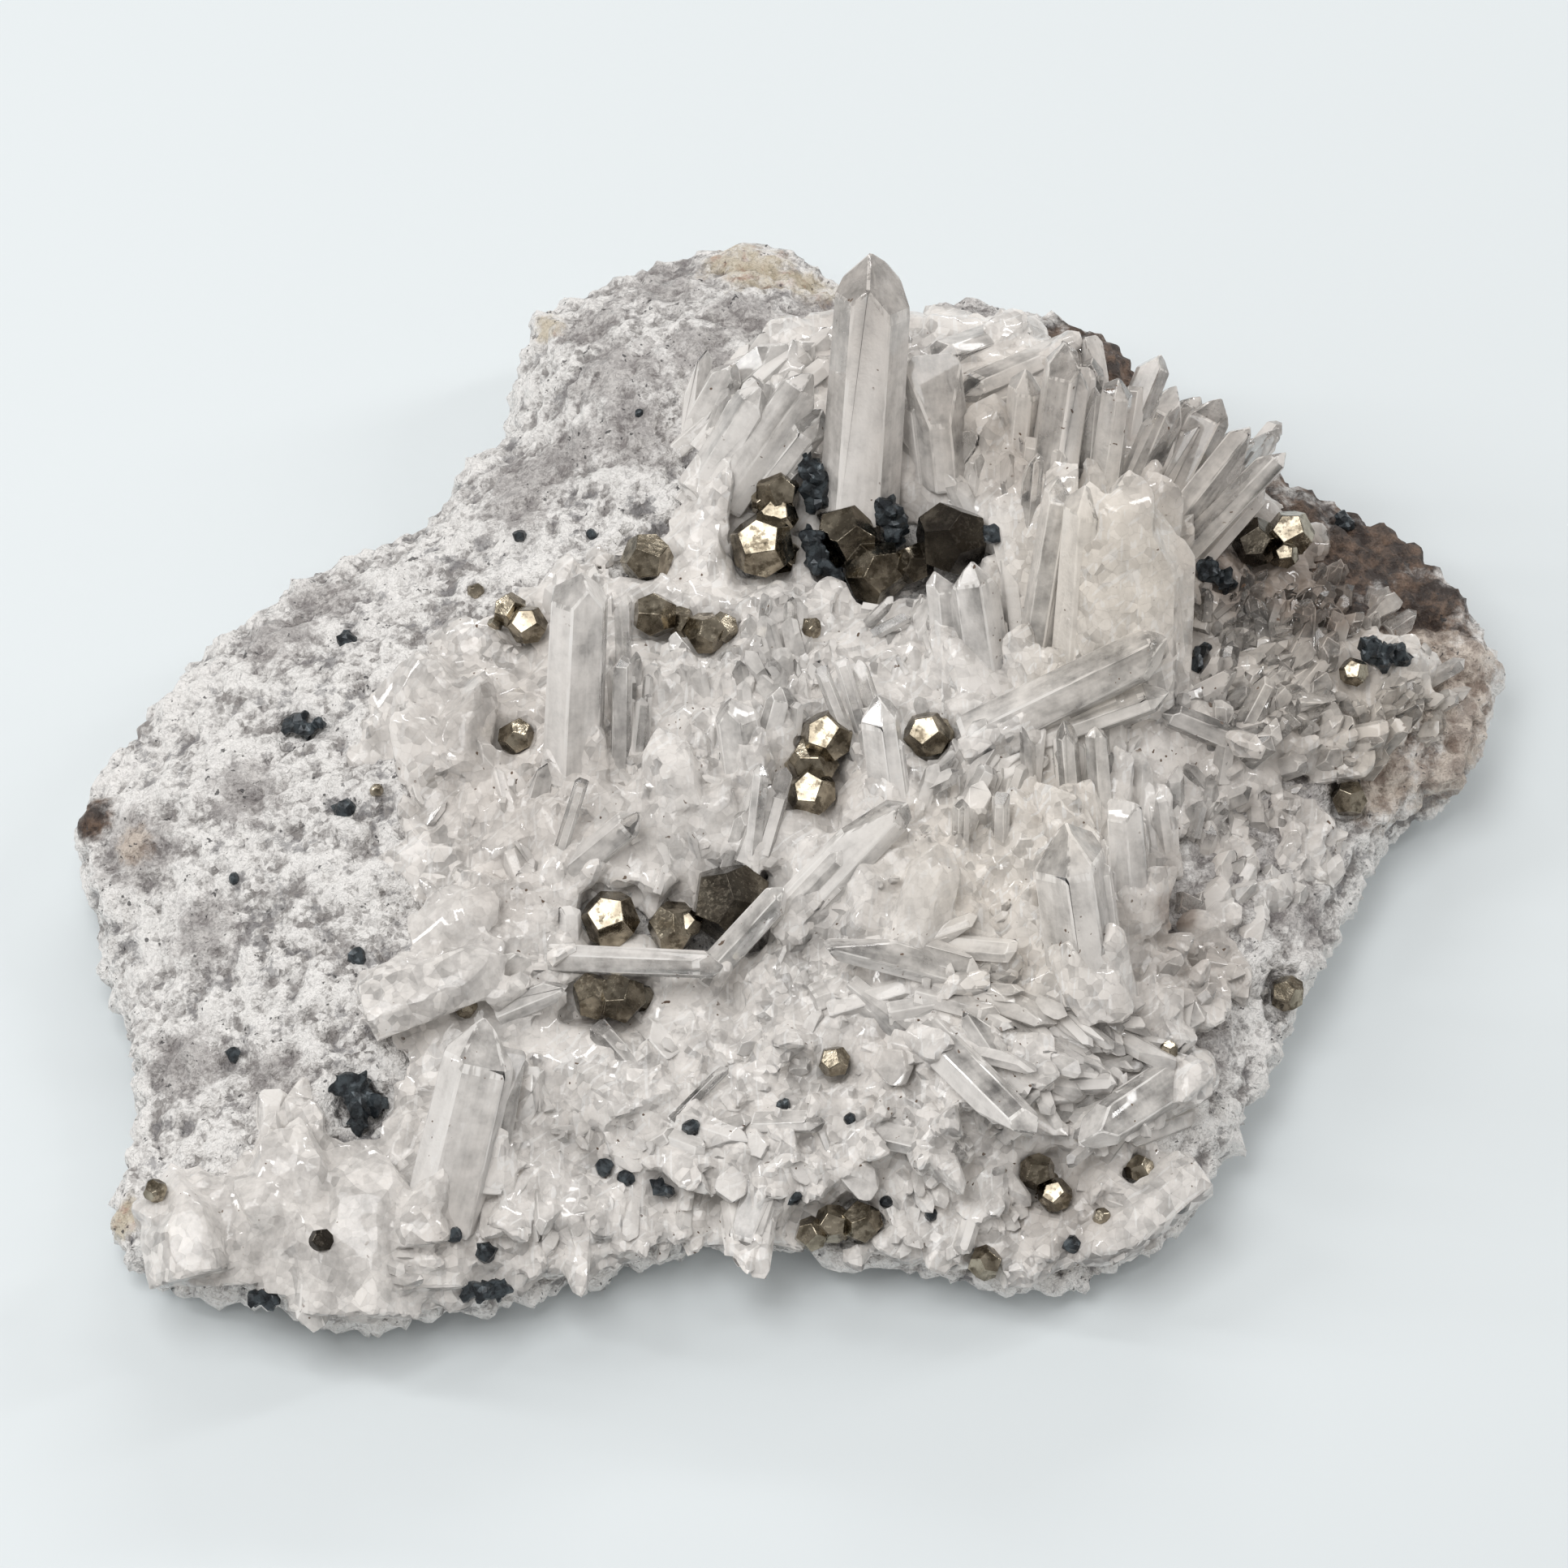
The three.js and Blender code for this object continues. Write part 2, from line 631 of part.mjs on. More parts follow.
// The way a face points to throw the light at the viewer
const LIGHT = new THREE.Vector3(-0.25, -0.2, 0.95).normalize();
const GLINT = LIGHT.clone().sub(forward).normalize();

function pyriteGeometry(stone, centre, random, corners, grow) {
  const geometry = new ConvexGeometry(corners);
  const size = (stone.width / 2 + grow) / PYRITE_INRADIUS;
  geometry.scale(size, size, size);
  const away = new THREE.Vector3(random() - 0.5, random() - 0.5, random() - 0.5).normalize();
  const faces = stone.spin === undefined ? away : GLINT;
  const spin = THREE.MathUtils.degToRad(stone.spin ?? 360 * random());
  const turn = new THREE.Quaternion().setFromUnitVectors(PYRITE_FACE, faces);
  geometry.applyQuaternion(turn);
  geometry.applyQuaternion(new THREE.Quaternion().setFromAxisAngle(faces, spin));
  geometry.translate(centre.x, centre.y, centre.z);
  return geometry;
}

function pyriteStone(stone, centre, random) {
  return pyriteGeometry(stone, centre, random, PYRITE_CORNERS, 0);
}

function pyriteSocket(stone, centre, random) {
  return pyriteGeometry(stone, centre, random, CUBE_CORNERS, SEAT_GAP);
}

// A lump of sphalerite: the hull of a few points about a ball
function lumpGeometry(lump, centre, random, grow = 0) {
  const points = [];
  const corners = 9;
  for (let i = 0; i < corners; i++) {
    const height = 1 - (2 * (i + 0.5)) / corners;
    const turn = 2.4 * i + random();
    const ring = Math.sqrt(1 - height * height);
    const reach = (lump.width / 2) * (1 + 0.3 * random()) + grow;
    points.push(new THREE.Vector3(ring * Math.cos(turn), ring * Math.sin(turn), height).multiplyScalar(reach));
  }
  const geometry = new ConvexGeometry(points);
  geometry.translate(centre.x, centre.y, centre.z);
  return geometry;
}

function lumpSocket(lump, centre, random) {
  return lumpGeometry(lump, centre, random, SEAT_GAP);
}

function clusterShapes(stones, shapeOf, seed) {
  const random = seededRandom(seed);
  return stones.map((stone) => shapeOf(stone, onSurface(stone.at, crustTop, stone.lift), random));
}

// The socket that a cluster sits in: one hull about all its sockets
function hullOf(shapes) {
  const corners = [];
  shapes.forEach((shape) => {
    const place = shape.attributes.position;
    for (let i = 0; i < place.count; i++) corners.push(new THREE.Vector3().fromBufferAttribute(place, i));
  });
  return solidOf(new ConvexGeometry(corners));
}

function clustersOf(table, shapeOf, socketOf, material) {
  return Object.entries(table).map(([name, stones], i) => ({
    name,
    material,
    solid: joined(clusterShapes(stones, shapeOf, CLUSTER_SEED + i).map(solidOf)),
    seat: hullOf(clusterShapes(stones, socketOf, CLUSTER_SEED + i)),
  }));
}

const ROCK = new THREE.MeshStandardMaterial({ color: 0xc9c5c2, roughness: 0.9, metalness: 0 });
const QUARTZ = new THREE.MeshStandardMaterial({ color: 0xd9d7d3, roughness: 0.25, metalness: 0 });
const BRASSY = new THREE.MeshStandardMaterial({ color: 0x9c8a62, roughness: 0.25, metalness: 1 });
const DARK = new THREE.MeshStandardMaterial({ color: 0x2b3138, roughness: 0.35, metalness: 0.3 });

const rockShape = plateBody(ROCK_COLUMNS, ROCK_RINGS, rockTop, () => 0);
const crustShape = plateBody(
  CRUST_COLUMNS,
  CRUST_RINGS,
  (x, y) => rockTop(x, y) + crustDepth(x, y),
  (edge, level) => (level > 0.5 ? 0.5 * crustDepth(edge.x, edge.y) : -3),
);

// Sphalerite first, then the pyrite is cut to it, and quartz and rock are cut to both
const dark = clustersOf(SPHALERITE, lumpGeometry, lumpSocket, DARK);
const darkSeats = joined(dark.map((cluster) => cluster.seat));
const brassy = clustersOf(PYRITE, pyriteStone, pyriteSocket, BRASSY);
const seats = joined([darkSeats, ...brassy.map((cluster) => cluster.seat)]);

const bed = bedBlock();
const druse = joined([solidOf(crustShape), ...namedCrystals()]);
const quartz = largestBody(druse.subtract(bed.translate(0, 0, SEAT_GAP)).subtract(seats));
const rock = largestBody(solidOf(rockShape).intersect(bed).subtract(seats));

const specimen = new THREE.Group();

function addPiece(name, solid, material) {
  const mesh = new THREE.Mesh(geometryOf(solid), material);
  mesh.name = name;
  specimen.add(mesh);
}

addPiece("rock_plate", rock, ROCK);
addPiece("quartz_druse", quartz, QUARTZ);
dark.forEach((cluster) => addPiece(cluster.name, cluster.solid, cluster.material));
brassy.forEach((cluster) => {
  addPiece(cluster.name, largestBody(cluster.solid.subtract(darkSeats)), cluster.material);
});

export default specimen;
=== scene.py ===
import math
import random

import bpy
import numpy as np
from mathutils import Matrix, Quaternion, Vector, noise
from mathutils.bvhtree import BVHTree


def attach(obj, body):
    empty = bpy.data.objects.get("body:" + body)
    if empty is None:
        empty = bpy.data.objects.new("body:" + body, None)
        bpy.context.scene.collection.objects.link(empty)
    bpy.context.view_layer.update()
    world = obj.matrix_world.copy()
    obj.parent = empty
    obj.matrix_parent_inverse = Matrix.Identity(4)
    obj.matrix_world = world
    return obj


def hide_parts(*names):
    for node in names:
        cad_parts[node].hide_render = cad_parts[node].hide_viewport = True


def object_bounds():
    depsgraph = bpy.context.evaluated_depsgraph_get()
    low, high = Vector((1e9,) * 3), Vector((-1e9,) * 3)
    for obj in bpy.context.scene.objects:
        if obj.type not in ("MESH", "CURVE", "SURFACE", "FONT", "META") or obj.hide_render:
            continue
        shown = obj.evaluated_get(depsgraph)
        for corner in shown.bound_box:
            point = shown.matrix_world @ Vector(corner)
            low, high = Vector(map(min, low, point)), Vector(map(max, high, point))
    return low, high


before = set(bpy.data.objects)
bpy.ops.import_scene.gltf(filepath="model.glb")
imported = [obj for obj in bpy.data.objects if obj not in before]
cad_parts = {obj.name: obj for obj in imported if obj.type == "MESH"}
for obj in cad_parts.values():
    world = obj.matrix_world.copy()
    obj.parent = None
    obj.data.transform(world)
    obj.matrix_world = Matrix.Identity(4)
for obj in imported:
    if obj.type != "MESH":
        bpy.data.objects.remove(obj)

cad_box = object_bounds()

# Driving sizes, the same as the solids'
MM = 0.001
PLATE_WIDTH = 160 * MM
CRUST_THICKNESS = 2.6 * MM
BED_DEPTH = 2 * MM

# The picture that the places below are read in, and how it looks at the plate
PICTURE_SIDE = 1932
PLATE_WIDTH_PX = 1738
METRES_PER_PX = PLATE_WIDTH / PLATE_WIDTH_PX
SIGHT_ELEVATION = math.radians(55)
SIGHT_DISTANCE = 0.9
SIGHT_AIM = Vector((0, 0, 12 * MM))
SENSOR_MM = 36

# The light: the way to the soft box over the specimen, then each soft box's name, way, distance,
# width and height in metres, and power in watts
LIGHT_WAY = Vector((-0.25, -0.2, 0.95)).normalized()
SOFT_BOXES = [
    ("main_soft_box", LIGHT_WAY, 0.7, (0.36, 0.36), 1.72),
    ("left_strip", Vector((-0.9, 0.1, 0.6)), 0.8, (0.05, 0.5), 1.3),
    ("right_strip", Vector((0.9, 0.3, 0.6)), 0.8, (0.05, 0.5), 1.1),
    ("back_strip", Vector((0.1, 0.95, 0.6)), 0.8, (0.5, 0.05), 1.1),
]
SKY_COLOUR = (1, 0.98, 0.96, 1)
SKY_STRENGTH = 0.44

# Fineness of the meshes: the cells of each voxel remesh, and the share of its faces that is kept
ROCK_CELL = 0.75 * MM
CRUST_CELL = 0.6 * MM
MASS_CELL = 0.5 * MM
MASS_SHARE = 0.235
LUMP_CELL = 0.28 * MM
LUMP_SHARE = 0.14

# The rock is as smooth as its solid up to the first height, and fully rough at the second above it.
# Its relief is marked from 0 to 1 over the last one.
SMOOTH_FOOT = 0.4 * MM
FOOT_RISE = 1.5 * MM
ROCK_RELIEF = 2.4 * MM

# The crust is cut from the druse's solid by a lid of the plate's own form, spread and raised
LID_SPREAD = 1.06
LID_GAP = 0.4 * MM

# Quartz: the lean of a point's faces, how much of a crystal's length its point may take, how much
# thinner its shoulder is than its foot, and how deep the feet go into the crust
FACE_LEAN = math.radians(51.8)
POINT_SHARE = 0.75
TAPER = 0.07
ROOT = 2.6 * MM
COLLAR_ROOT = 1.5 * MM
QUARTZ_IOR = 1.544

# Wider crystals than this have worn edges, by a bevel of that share of their width
WORN_EDGE_WIDTH = 2.6 * MM
EDGE_BEVEL = 0.03

# Crystals that stand out have thinner ones along their sides if they are wider and less tall than
# this, in millimetres, and so many short milky ones about their feet
COMPANION_WIDTH = 4.4
TALL_RISE = 18
COLLAR_COUNT = 5

# Faces of the druse that meet at less than this are shaded as one
SMOOTH_ANGLE = math.radians(22)

# The light that leaves milky quartz: the facet's own share of its way, how far it is turned up, and
# how much it has to face the facet's way
FACET_SHARE = 0.2
LIFT = 1.1
LEAST_FACING = 0.3

# Fields at least this milky melt into the crust, apart from a share of their slender crystals
MASS_MILK = 0.93
SHARP_SHARE = 0.36
STOUT_WIDTH = 5 * MM
CRUST_MILK = 0.95

# An area of the picture is marked in full up to 0.6 / 1.6 of its reach, and fades out from there
AREA_RISE = 1.6

# A pyrite crystal is cut from a cube this wide, and its faces are then this far from its middle
PYRITE_CUBE = 3
PYRITE_FACE = PYRITE_CUBE / math.sqrt(5)

# Lumps of sphalerite: the size of their small faces and how much they stand out, both in metres,
# and the level that stays where it is
LUMP_SIZE = 1.5 * MM
LUMP_DEPTH = 1.1 * MM
LUMP_LEVEL = 0.35

# Standing and lying crystals that stand out: foot and tip in the picture, how much higher the
# tip is, and the width between flats, in millimetres.
CRYSTALS = [
    ((1056, 606), (1076, 316), 24, 9),
    ((905, 600), (1002, 460), 10, 6.4),
    ((872, 590), (940, 478), 9, 5.4),
    ((945, 590), (1012, 505), 8, 5.2),
    ((1298, 438), (1184, 486), 4.5, 4),
    ((1162, 570), (1148, 440), 11, 7.6),
    ((1290, 610), (1318, 423), 14, 7.2),
    ((1362, 600), (1380, 466), 12, 3.8),
    ((1398, 606), (1453, 478), 9, 4.8),
    ((1440, 612), (1502, 490), 8, 5.6),
    ((1448, 655), (1546, 531), 8, 5),
    ((1462, 680), (1582, 556), 7, 4.2),
    ((1498, 622), (1574, 526), 5, 3.4),
    ((1254, 800), (1276, 558), 17, 2.4),
    ((1270, 820), (1308, 588), 18, 5),
    ((1322, 836), (1340, 598), 19, 6.2),
    ((1216, 900), (1440, 790), 8, 6),
    ((1262, 915), (1440, 852), 4, 4.6),
    ((1216, 822), (1196, 690), 11, 6.8),
    ((1166, 806), (1156, 704), 8, 4.2),
    ((702, 935), (713, 702), 18, 7.2),
    ((766, 935), (768, 807), 9, 2.6),
    ((724, 1056), (789, 1002), 5, 3.6),
    ((925, 1062), (938, 941), 9, 2),
    ((1098, 982), (1081, 858), 10, 5),
    ((1052, 928), (1010, 822), 8, 2),
    ((1064, 905), (1035, 811), 7, 2),
    ((915, 935), (903, 858), 6, 5.2),
    ((978, 1124), (1112, 984), 9, 5),
    ((884, 1186), (968, 1094), 8, 3.6),
    ((706, 1182), (890, 1189), 3.5, 3.6),
    ((1184, 1202), (1018, 1160), 5, 4.2),
    ((1338, 1198), (1312, 1016), 14, 8.6),
    ((1396, 1112), (1386, 984), 10, 5.2),
    ((1320, 986), (1312, 888), 8, 3.4),
    ((1356, 982), (1350, 894), 7, 3),
    ((1232, 1037), (1233, 976), 5, 2.4),
    ((1160, 1290), (1272, 1402), 3, 4.6),
    ((1075, 1396), (1193, 1424), 2, 3.4),
    ((1442, 1334), (1334, 1404), 3, 5),
    ((1250, 1330), (1190, 1240), 5, 4.4),
    ((940, 1462), (908, 1560), -3, 4.6),
    ((388, 1555), (380, 1641), -4, 4.4),
    ((545, 1485), (600, 1256), 14, 8.6),
    ((604, 1432), (630, 1292), 8, 4.2),
    ((792, 1330), (732, 1262), 3, 3.2),
    ((958, 1384), (1016, 1382), 2, 3),
    ((1528, 916), (1432, 877), 3, 3.4),
    ((1112, 724), (1077, 683), 2.5, 1.9),
    ((1085, 738), (1139, 708), 2.5, 1.8),
    ((1062, 776), (1102, 736), 2, 1.8),
    ((686, 1062), (718, 959), 7, 1.8),
    ((943, 782), (943, 733), 4, 2),
    ((972, 782), (974, 736), 4, 1.8),
    ((1183, 1037), (1185, 984), 4.5, 2),
    ((848, 1362), (896, 1314), 2.5, 1.6),
    ((1078, 882), (1056, 814), 5, 2.2),
    ((902, 1062), (920, 998), 5, 2.6),
    ((838, 820), (835, 779), 3, 2.6),
    ((1482, 690), (1560, 602), 5, 3),
    ((1338, 590), (1348, 480), 9, 3),
    ((925, 458), (968, 424), 3.5, 4.2),
    ((1236, 414), (1150, 442), 3, 3.8),
    ((1256, 570), (1266, 455), 9, 5),
    ((946, 905), (962, 846), 4, 3.4),
    ((1420, 580), (1478, 488), 6, 4.2),
    ((640, 1238), (698, 1214), 2, 4),
]

# Milky crystals that have melted into the crust, read the same way
MASSES = [
    ((1345, 850), (1346, 592), 19, 7),
    ((1378, 850), (1384, 576), 20, 8),
    ((1412, 850), (1420, 606), 17, 8),
    ((1438, 845), (1448, 660), 13, 6),
    ((1395, 850), (1400, 640), 15, 10),
    ((1360, 850), (1362, 640), 15, 9),
    ((1215, 560), (1222, 480), 7, 6),
    ((828, 965), (814, 893), 5, 6),
    ((232, 1548), (204, 1430), 5, 12),
    ((352, 1562), (348, 1412), 8, 8),
    ((456, 1592), (470, 1408), 8, 11),
    ((284, 1550), (276, 1440), 6, 11),
    ((404, 1590), (412, 1470), 6, 8),
    ((536, 1556), (532, 1440), 6, 9),
    ((478, 1238), (630, 1182), 2.6, 6.4),
    ((540, 1144), (618, 1108), 4, 6),
    ((860, 1095), (850, 1010), 6, 7.4),
    ((570, 905), (585, 822), 5, 8),
    ((1130, 1150), (1165, 1040), 7, 6),
    ((1452, 1462), (1328, 1560), -1.5, 6.2),
]

# Fields of smaller crystals that lean one way: middle and reach in the picture, how many, widths in
# millimetres, lengths in widths, heading (0 is right, 90 is back) and rise in degrees, spread in
# degrees, and how milky they are.
FIELDS = [
    ((900, 560), (60, 60), 22, (1.8, 4.4), (1.8, 3), 60, 35, 16, 0.85),
    ((950, 455), (50, 28), 14, (2, 4.4), (1.2, 1.8), 35, 12, 20, 0.9),
    ((1175, 490), (75, 34), 20, (2.6, 5), (1.1, 1.9), 28, 2, 12, 0.95),
    ((1240, 476), (45, 24), 10, (2.4, 4.6), (1, 1.5), 20, 4, 12, 0.95),
    ((1200, 585), (75, 60), 34, (1.6, 3.6), (1.5, 2.4), 90, 48, 26, 0.9),
    ((1345, 540), (60, 55), 14, (2.4, 5), (1.8, 2.6), 80, 35, 14, 0.8),
    ((1490, 610), (60, 55), 24, (1.6, 3.6), (2.2, 3.6), 42, 12, 8, 0.7),
    ((1340, 790), (85, 50), 20, (3, 6.5), (2.6, 3.6), 96, 50, 6, 1.1),
    ((1400, 710), (45, 75), 30, (2.4, 4.4), (1.2, 1.7), 88, 42, 14, 1.2),
    ((1330, 865), (95, 35), 34, (1.4, 3.6), (1.8, 3.2), 25, 20, 18, 0.9),
    ((1185, 765), (60, 60), 22, (2, 5), (1.4, 2.2), 108, 45, 18, 0.9),
    ((1075, 745), (55, 45), 18, (0.9, 2), (3.4, 5.5), 45, 22, 30, 0.6),
    ((960, 830), (55, 70), 40, (1.1, 2.6), (1.6, 2.8), 100, 48, 28, 0.8),
    ((860, 830), (75, 40), 46, (1.1, 2.6), (1.4, 2.4), 90, 45, 28, 0.95),
    ((778, 890), (26, 75), 14, (1.2, 2.2), (3.6, 5.6), 92, 38, 6, 0.7),
    ((890, 915), (50, 35), 12, (3, 5.5), (1, 1.5), 75, 48, 14, 1.0),
    ((835, 1020), (60, 70), 8, (8, 13), (0.75, 1), 95, 55, 14, 1.1),
    ((930, 1050), (45, 40), 12, (1.6, 3), (2.8, 4), 60, 35, 8, 0.7),
    ((735, 745), (70, 30), 30, (1.2, 2.6), (1.2, 2), 100, 45, 25, 0.95),
    ((560, 870), (75, 50), 7, (7, 12), (0.75, 1), 100, 55, 14, 1.1),
    ((540, 940), (90, 75), 22, (3, 6), (0.8, 1.3), 130, 48, 20, 1.05),
    ((620, 980), (40, 60), 22, (1.4, 2.8), (1.4, 2.4), 95, 45, 20, 0.95),
    ((560, 1140), (75, 75), 9, (7, 12), (0.75, 1), 150, 50, 16, 1.1),
    ((540, 1220), (90, 40), 20, (2, 4.4), (1.2, 2.4), 15, 18, 14, 1.0),
    ((670, 1130), (50, 60), 30, (1.4, 3.6), (1.1, 1.9), 110, 50, 25, 1.0),
    ((700, 990), (60, 60), 12, (5, 9), (0.8, 1.1), 95, 52, 14, 1.05),
    ((1190, 970), (60, 45), 30, (1.4, 3.2), (1.6, 2.8), 60, 36, 22, 0.8),
    ((1110, 1080), (70, 60), 9, (7, 13), (0.75, 1), 115, 55, 16, 1.1),
    ((1210, 1130), (75, 70), 26, (2.4, 6), (0.9, 1.4), 70, 46, 26, 1.05),
    ((1330, 940), (70, 60), 30, (1.4, 3.4), (2, 3.4), 98, 46, 12, 0.85),
    ((1390, 1060), (50, 90), 30, (1.6, 3.6), (1.8, 3), 96, 42, 12, 0.95),
    ((1310, 1100), (55, 90), 18, (3, 6.5), (1.2, 1.9), 98, 50, 12, 1.05),
    ((1100, 1200), (95, 50), 26, (1.4, 3.8), (1.8, 3.6), -12, 10, 14, 0.85),
    ((1020, 1235), (40, 35), 40, (0.9, 1.9), (1.2, 2), 90, 50, 35, 1.1),
    ((1290, 1290), (110, 80), 90, (1.2, 2.6), (2.2, 4.2), -35, 7, 24, 0.92),
    ((1170, 1330), (90, 80), 56, (1.4, 4.4), (1.2, 2.4), -50, 20, 28, 1.1),
    ((1400, 1360), (75, 50), 30, (1.4, 3), (2, 3.6), -140, 8, 20, 0.92),
    ((980, 1310), (90, 70), 56, (1.6, 4.8), (1, 1.8), -70, 30, 40, 1.05),
    ((780, 1290), (90, 60), 26, (2.4, 7), (0.8, 1.3), -60, 32, 30, 1.05),
    ((700, 1370), (70, 45), 34, (1.6, 3.6), (0.9, 1.6), 100, 50, 40, 1.0),
    ((830, 1410), (80, 35), 34, (1.4, 4), (1.2, 2.2), -20, 16, 26, 1.0),
    ((980, 1410), (90, 40), 40, (1.6, 4.6), (1.2, 2), -80, 12, 26, 1.1),
    ((670, 1470), (75, 55), 44, (1.6, 4.4), (1.4, 2.2), -95, 8, 24, 1.1),
    ((820, 1490), (85, 30), 50, (0.9, 2), (1.8, 3), -92, -8, 12, 1.05),
    ((940, 1495), (50, 35), 20, (1.4, 3), (1.4, 2.2), -95, -8, 14, 1.05),
    ((1160, 1475), (100, 45), 76, (0.9, 2.2), (1.6, 2.8), -80, 0, 16, 1.05),
    ((1340, 1460), (90, 60), 56, (1.2, 3), (1.4, 2.6), -50, 5, 30, 0.95),
    ((1220, 1535), (80, 18), 16, (2.4, 4), (0.8, 1.1), -90, 5, 25, 1.0),
    ((270, 1470), (100, 60), 15, (6, 10), (0.75, 0.95), -120, 40, 14, 1.1),
    ((350, 1450), (40, 60), 12, (3, 5.6), (1.3, 1.9), 85, 40, 10, 1.1),
    ((470, 1460), (75, 60), 12, (7, 12), (0.75, 1), 60, 48, 16, 1.1),
    ((480, 1565), (100, 40), 26, (3, 7), (0.9, 1.4), -90, 5, 18, 1.05),
    ((440, 1550), (50, 30), 16, (1.2, 2.2), (2.4, 4), -20, 12, 12, 1.0),
    ((1520, 850), (75, 70), 60, (1.4, 3.4), (1.1, 2), 30, 48, 32, 0.65),
    ((1660, 850), (90, 90), 60, (1.4, 3.4), (1, 1.8), 10, 46, 35, 0.7),
    ((1620, 960), (60, 60), 26, (1.6, 4), (1.1, 2), -20, 42, 30, 0.95),
    ((1580, 740), (80, 40), 36, (1.2, 3), (1.2, 2.2), 60, 42, 30, 0.6),
    ((1490, 1000), (60, 60), 30, (1.2, 2.6), (1, 1.8), 60, 46, 35, 0.7),
    ((1650, 775), (75, 35), 40, (1.2, 3), (1, 1.9), 60, 42, 30, 0.6),
    ((1525, 750), (50, 50), 40, (1.2, 3), (1.2, 2.2), 70, 45, 30, 0.6),
    ((1735, 850), (40, 75), 30, (1.2, 2.8), (1, 1.8), 20, 42, 30, 0.65),
    ((1570, 1040), (80, 70), 60, (1.2, 3), (1, 1.9), 60, 40, 40, 0.95),
    ((1480, 1190), (60, 70), 40, (1.6, 4), (1, 1.6), -20, 36, 40, 1.0),
    ((1510, 1110), (60, 60), 12, (2.4, 4.6), (0.8, 1.3), 60, 45, 20, 0.9),
    ((1440, 1260), (60, 60), 12, (3.5, 7), (0.8, 1.1), -30, 46, 20, 1.05),
    ((760, 1080), (260, 180), 160, (0.8, 1.7), (1.3, 2.6), 80, 42, 45, 1.05),
    ((1160, 1240), (260, 240), 260, (0.8, 1.8), (1.3, 2.8), 60, 36, 60, 1.05),
    ((840, 1380), (240, 120), 160, (0.8, 1.8), (1.3, 2.6), -80, 36, 60, 1.05),
    ((1180, 860), (220, 130), 120, (0.8, 1.7), (1.4, 2.8), 90, 42, 40, 0.95),
]

# Small pyrite crystals on the druse and the rock: place, width and lift, and for one that
# shines the spin of its bright face in degrees
SMALL_PYRITE = [
    ((942, 622), 3.2, 0.6, None),
    ((839, 768), 3.2, 0.2, None),
    ((1290, 1458), 2.6, 0, None),
    ((1044, 1512), 3, 0, None),
    ((998, 777), 2.4, 0.5, 40),
    ((574, 1246), 2.4, 1, 0),
    ((972, 690), 4, 0.3, None),
    ((1000, 942), 5.4, 0, None),
    ((792, 1234), 3.2, 0, None),
    ((1158, 904), 4.2, 0, None),
    ((1574, 676), 4, 0, None),
    ((586, 730), 1.8, 0.2, None),
    ((610, 771), 1.6, 0.2, None),
    ((464, 975), 1.4, 0.2, None),
    ((192, 1473), 2.4, 1, 15),
    ((1440, 1295), 2, 0.1, None),
    ((1357, 1500), 1.8, 0.2, None),
    ((396, 1530), 2.4, 0.3, None),
]

# Pyrite that is darker, partly by tarnish and partly by painted shadow where it lies in shade: middle and
# reach in the picture, and how much
DARK_PYRITE = [
    ((1176, 664), 95, 1.0),
    ((1046, 660), 50, 0.6),
    ((900, 1100), 80, 0.95),
    ((1010, 560), 50, 0.5),
    ((1600, 960), 80, 0.7),
    ((1530, 668), 62, 0.9),
    ((396, 1530), 60, 1.0),
    ((792, 1234), 60, 0.6),
]

# Small beads of sphalerite: place and width
SMALL_SPHALERITE = [
    ((1223, 659), 2),
    ((424, 999), 2.2),
    ((427, 790), 2),
    ((288, 1084), 1.2),
    ((441, 1181), 1.8),
    ((287, 1300), 1.6),
    ((560, 1523), 1.5),
    ((599, 1544), 2),
    ((745, 1440), 1.8),
    ((771, 1453), 1.6),
    ((852, 1390), 1.8),
    ((965, 1362), 1.4),
    ((1047, 1379), 1.3),
    ((978, 1477), 1.6),
    ((1092, 1483), 1.3),
    ((1147, 1497), 1.3),
    ((1321, 1535), 1.8),
    ((640, 662), 1.4),
    ((730, 660), 1.2),
    ((787, 510), 0.8),
]

# Spots on the bare rock: place and reach in millimetres
SMOOTH_PATCHES = [
    ((760, 460), 5.5),
    ((650, 590), 5),
    ((820, 350), 6),
    ((170, 1040), 5),
    ((400, 740), 4),
    ((340, 780), 4.5),
    ((250, 1150), 4),
    ((300, 980), 4),
    ((780, 530), 5),
    ((700, 560), 4),
    ((860, 430), 5),
    ((730, 400), 4),
    ((920, 390), 5),
    ((1000, 390), 4),
    ((1180, 385), 5),
    ((1450, 1130), 6),
    ((1520, 1060), 7),
    ((1580, 980), 6),
    ((1600, 1120), 5),
    ((1480, 1270), 5),
    ((230, 1310), 4),
    ((340, 1330), 4),
    ((640, 620), 4),
]
OCHRE_STAINS = [
    ((925, 325), 5),
    ((990, 350), 4),
    ((680, 400), 2.5),
    ((150, 1500), 2.2),
]
BROWN_STAINS = [
    ((1355, 450), 8),
    ((1390, 520), 4),
    ((1600, 640), 5),
    ((1680, 680), 8),
    ((1760, 740), 5),
    ((110, 1010), 2.5),
    ((1720, 660), 8),
    ((1640, 600), 8),
    ((1595, 580), 6),
    ((1660, 760), 5),
]
TAN_STAINS = [
    ((1750, 790), 6),
    ((1800, 830), 6),
    ((1810, 900), 6),
    ((1790, 960), 6),
    ((1740, 860), 6),
    ((1700, 960), 5),
    ((165, 1040), 2.2),
]

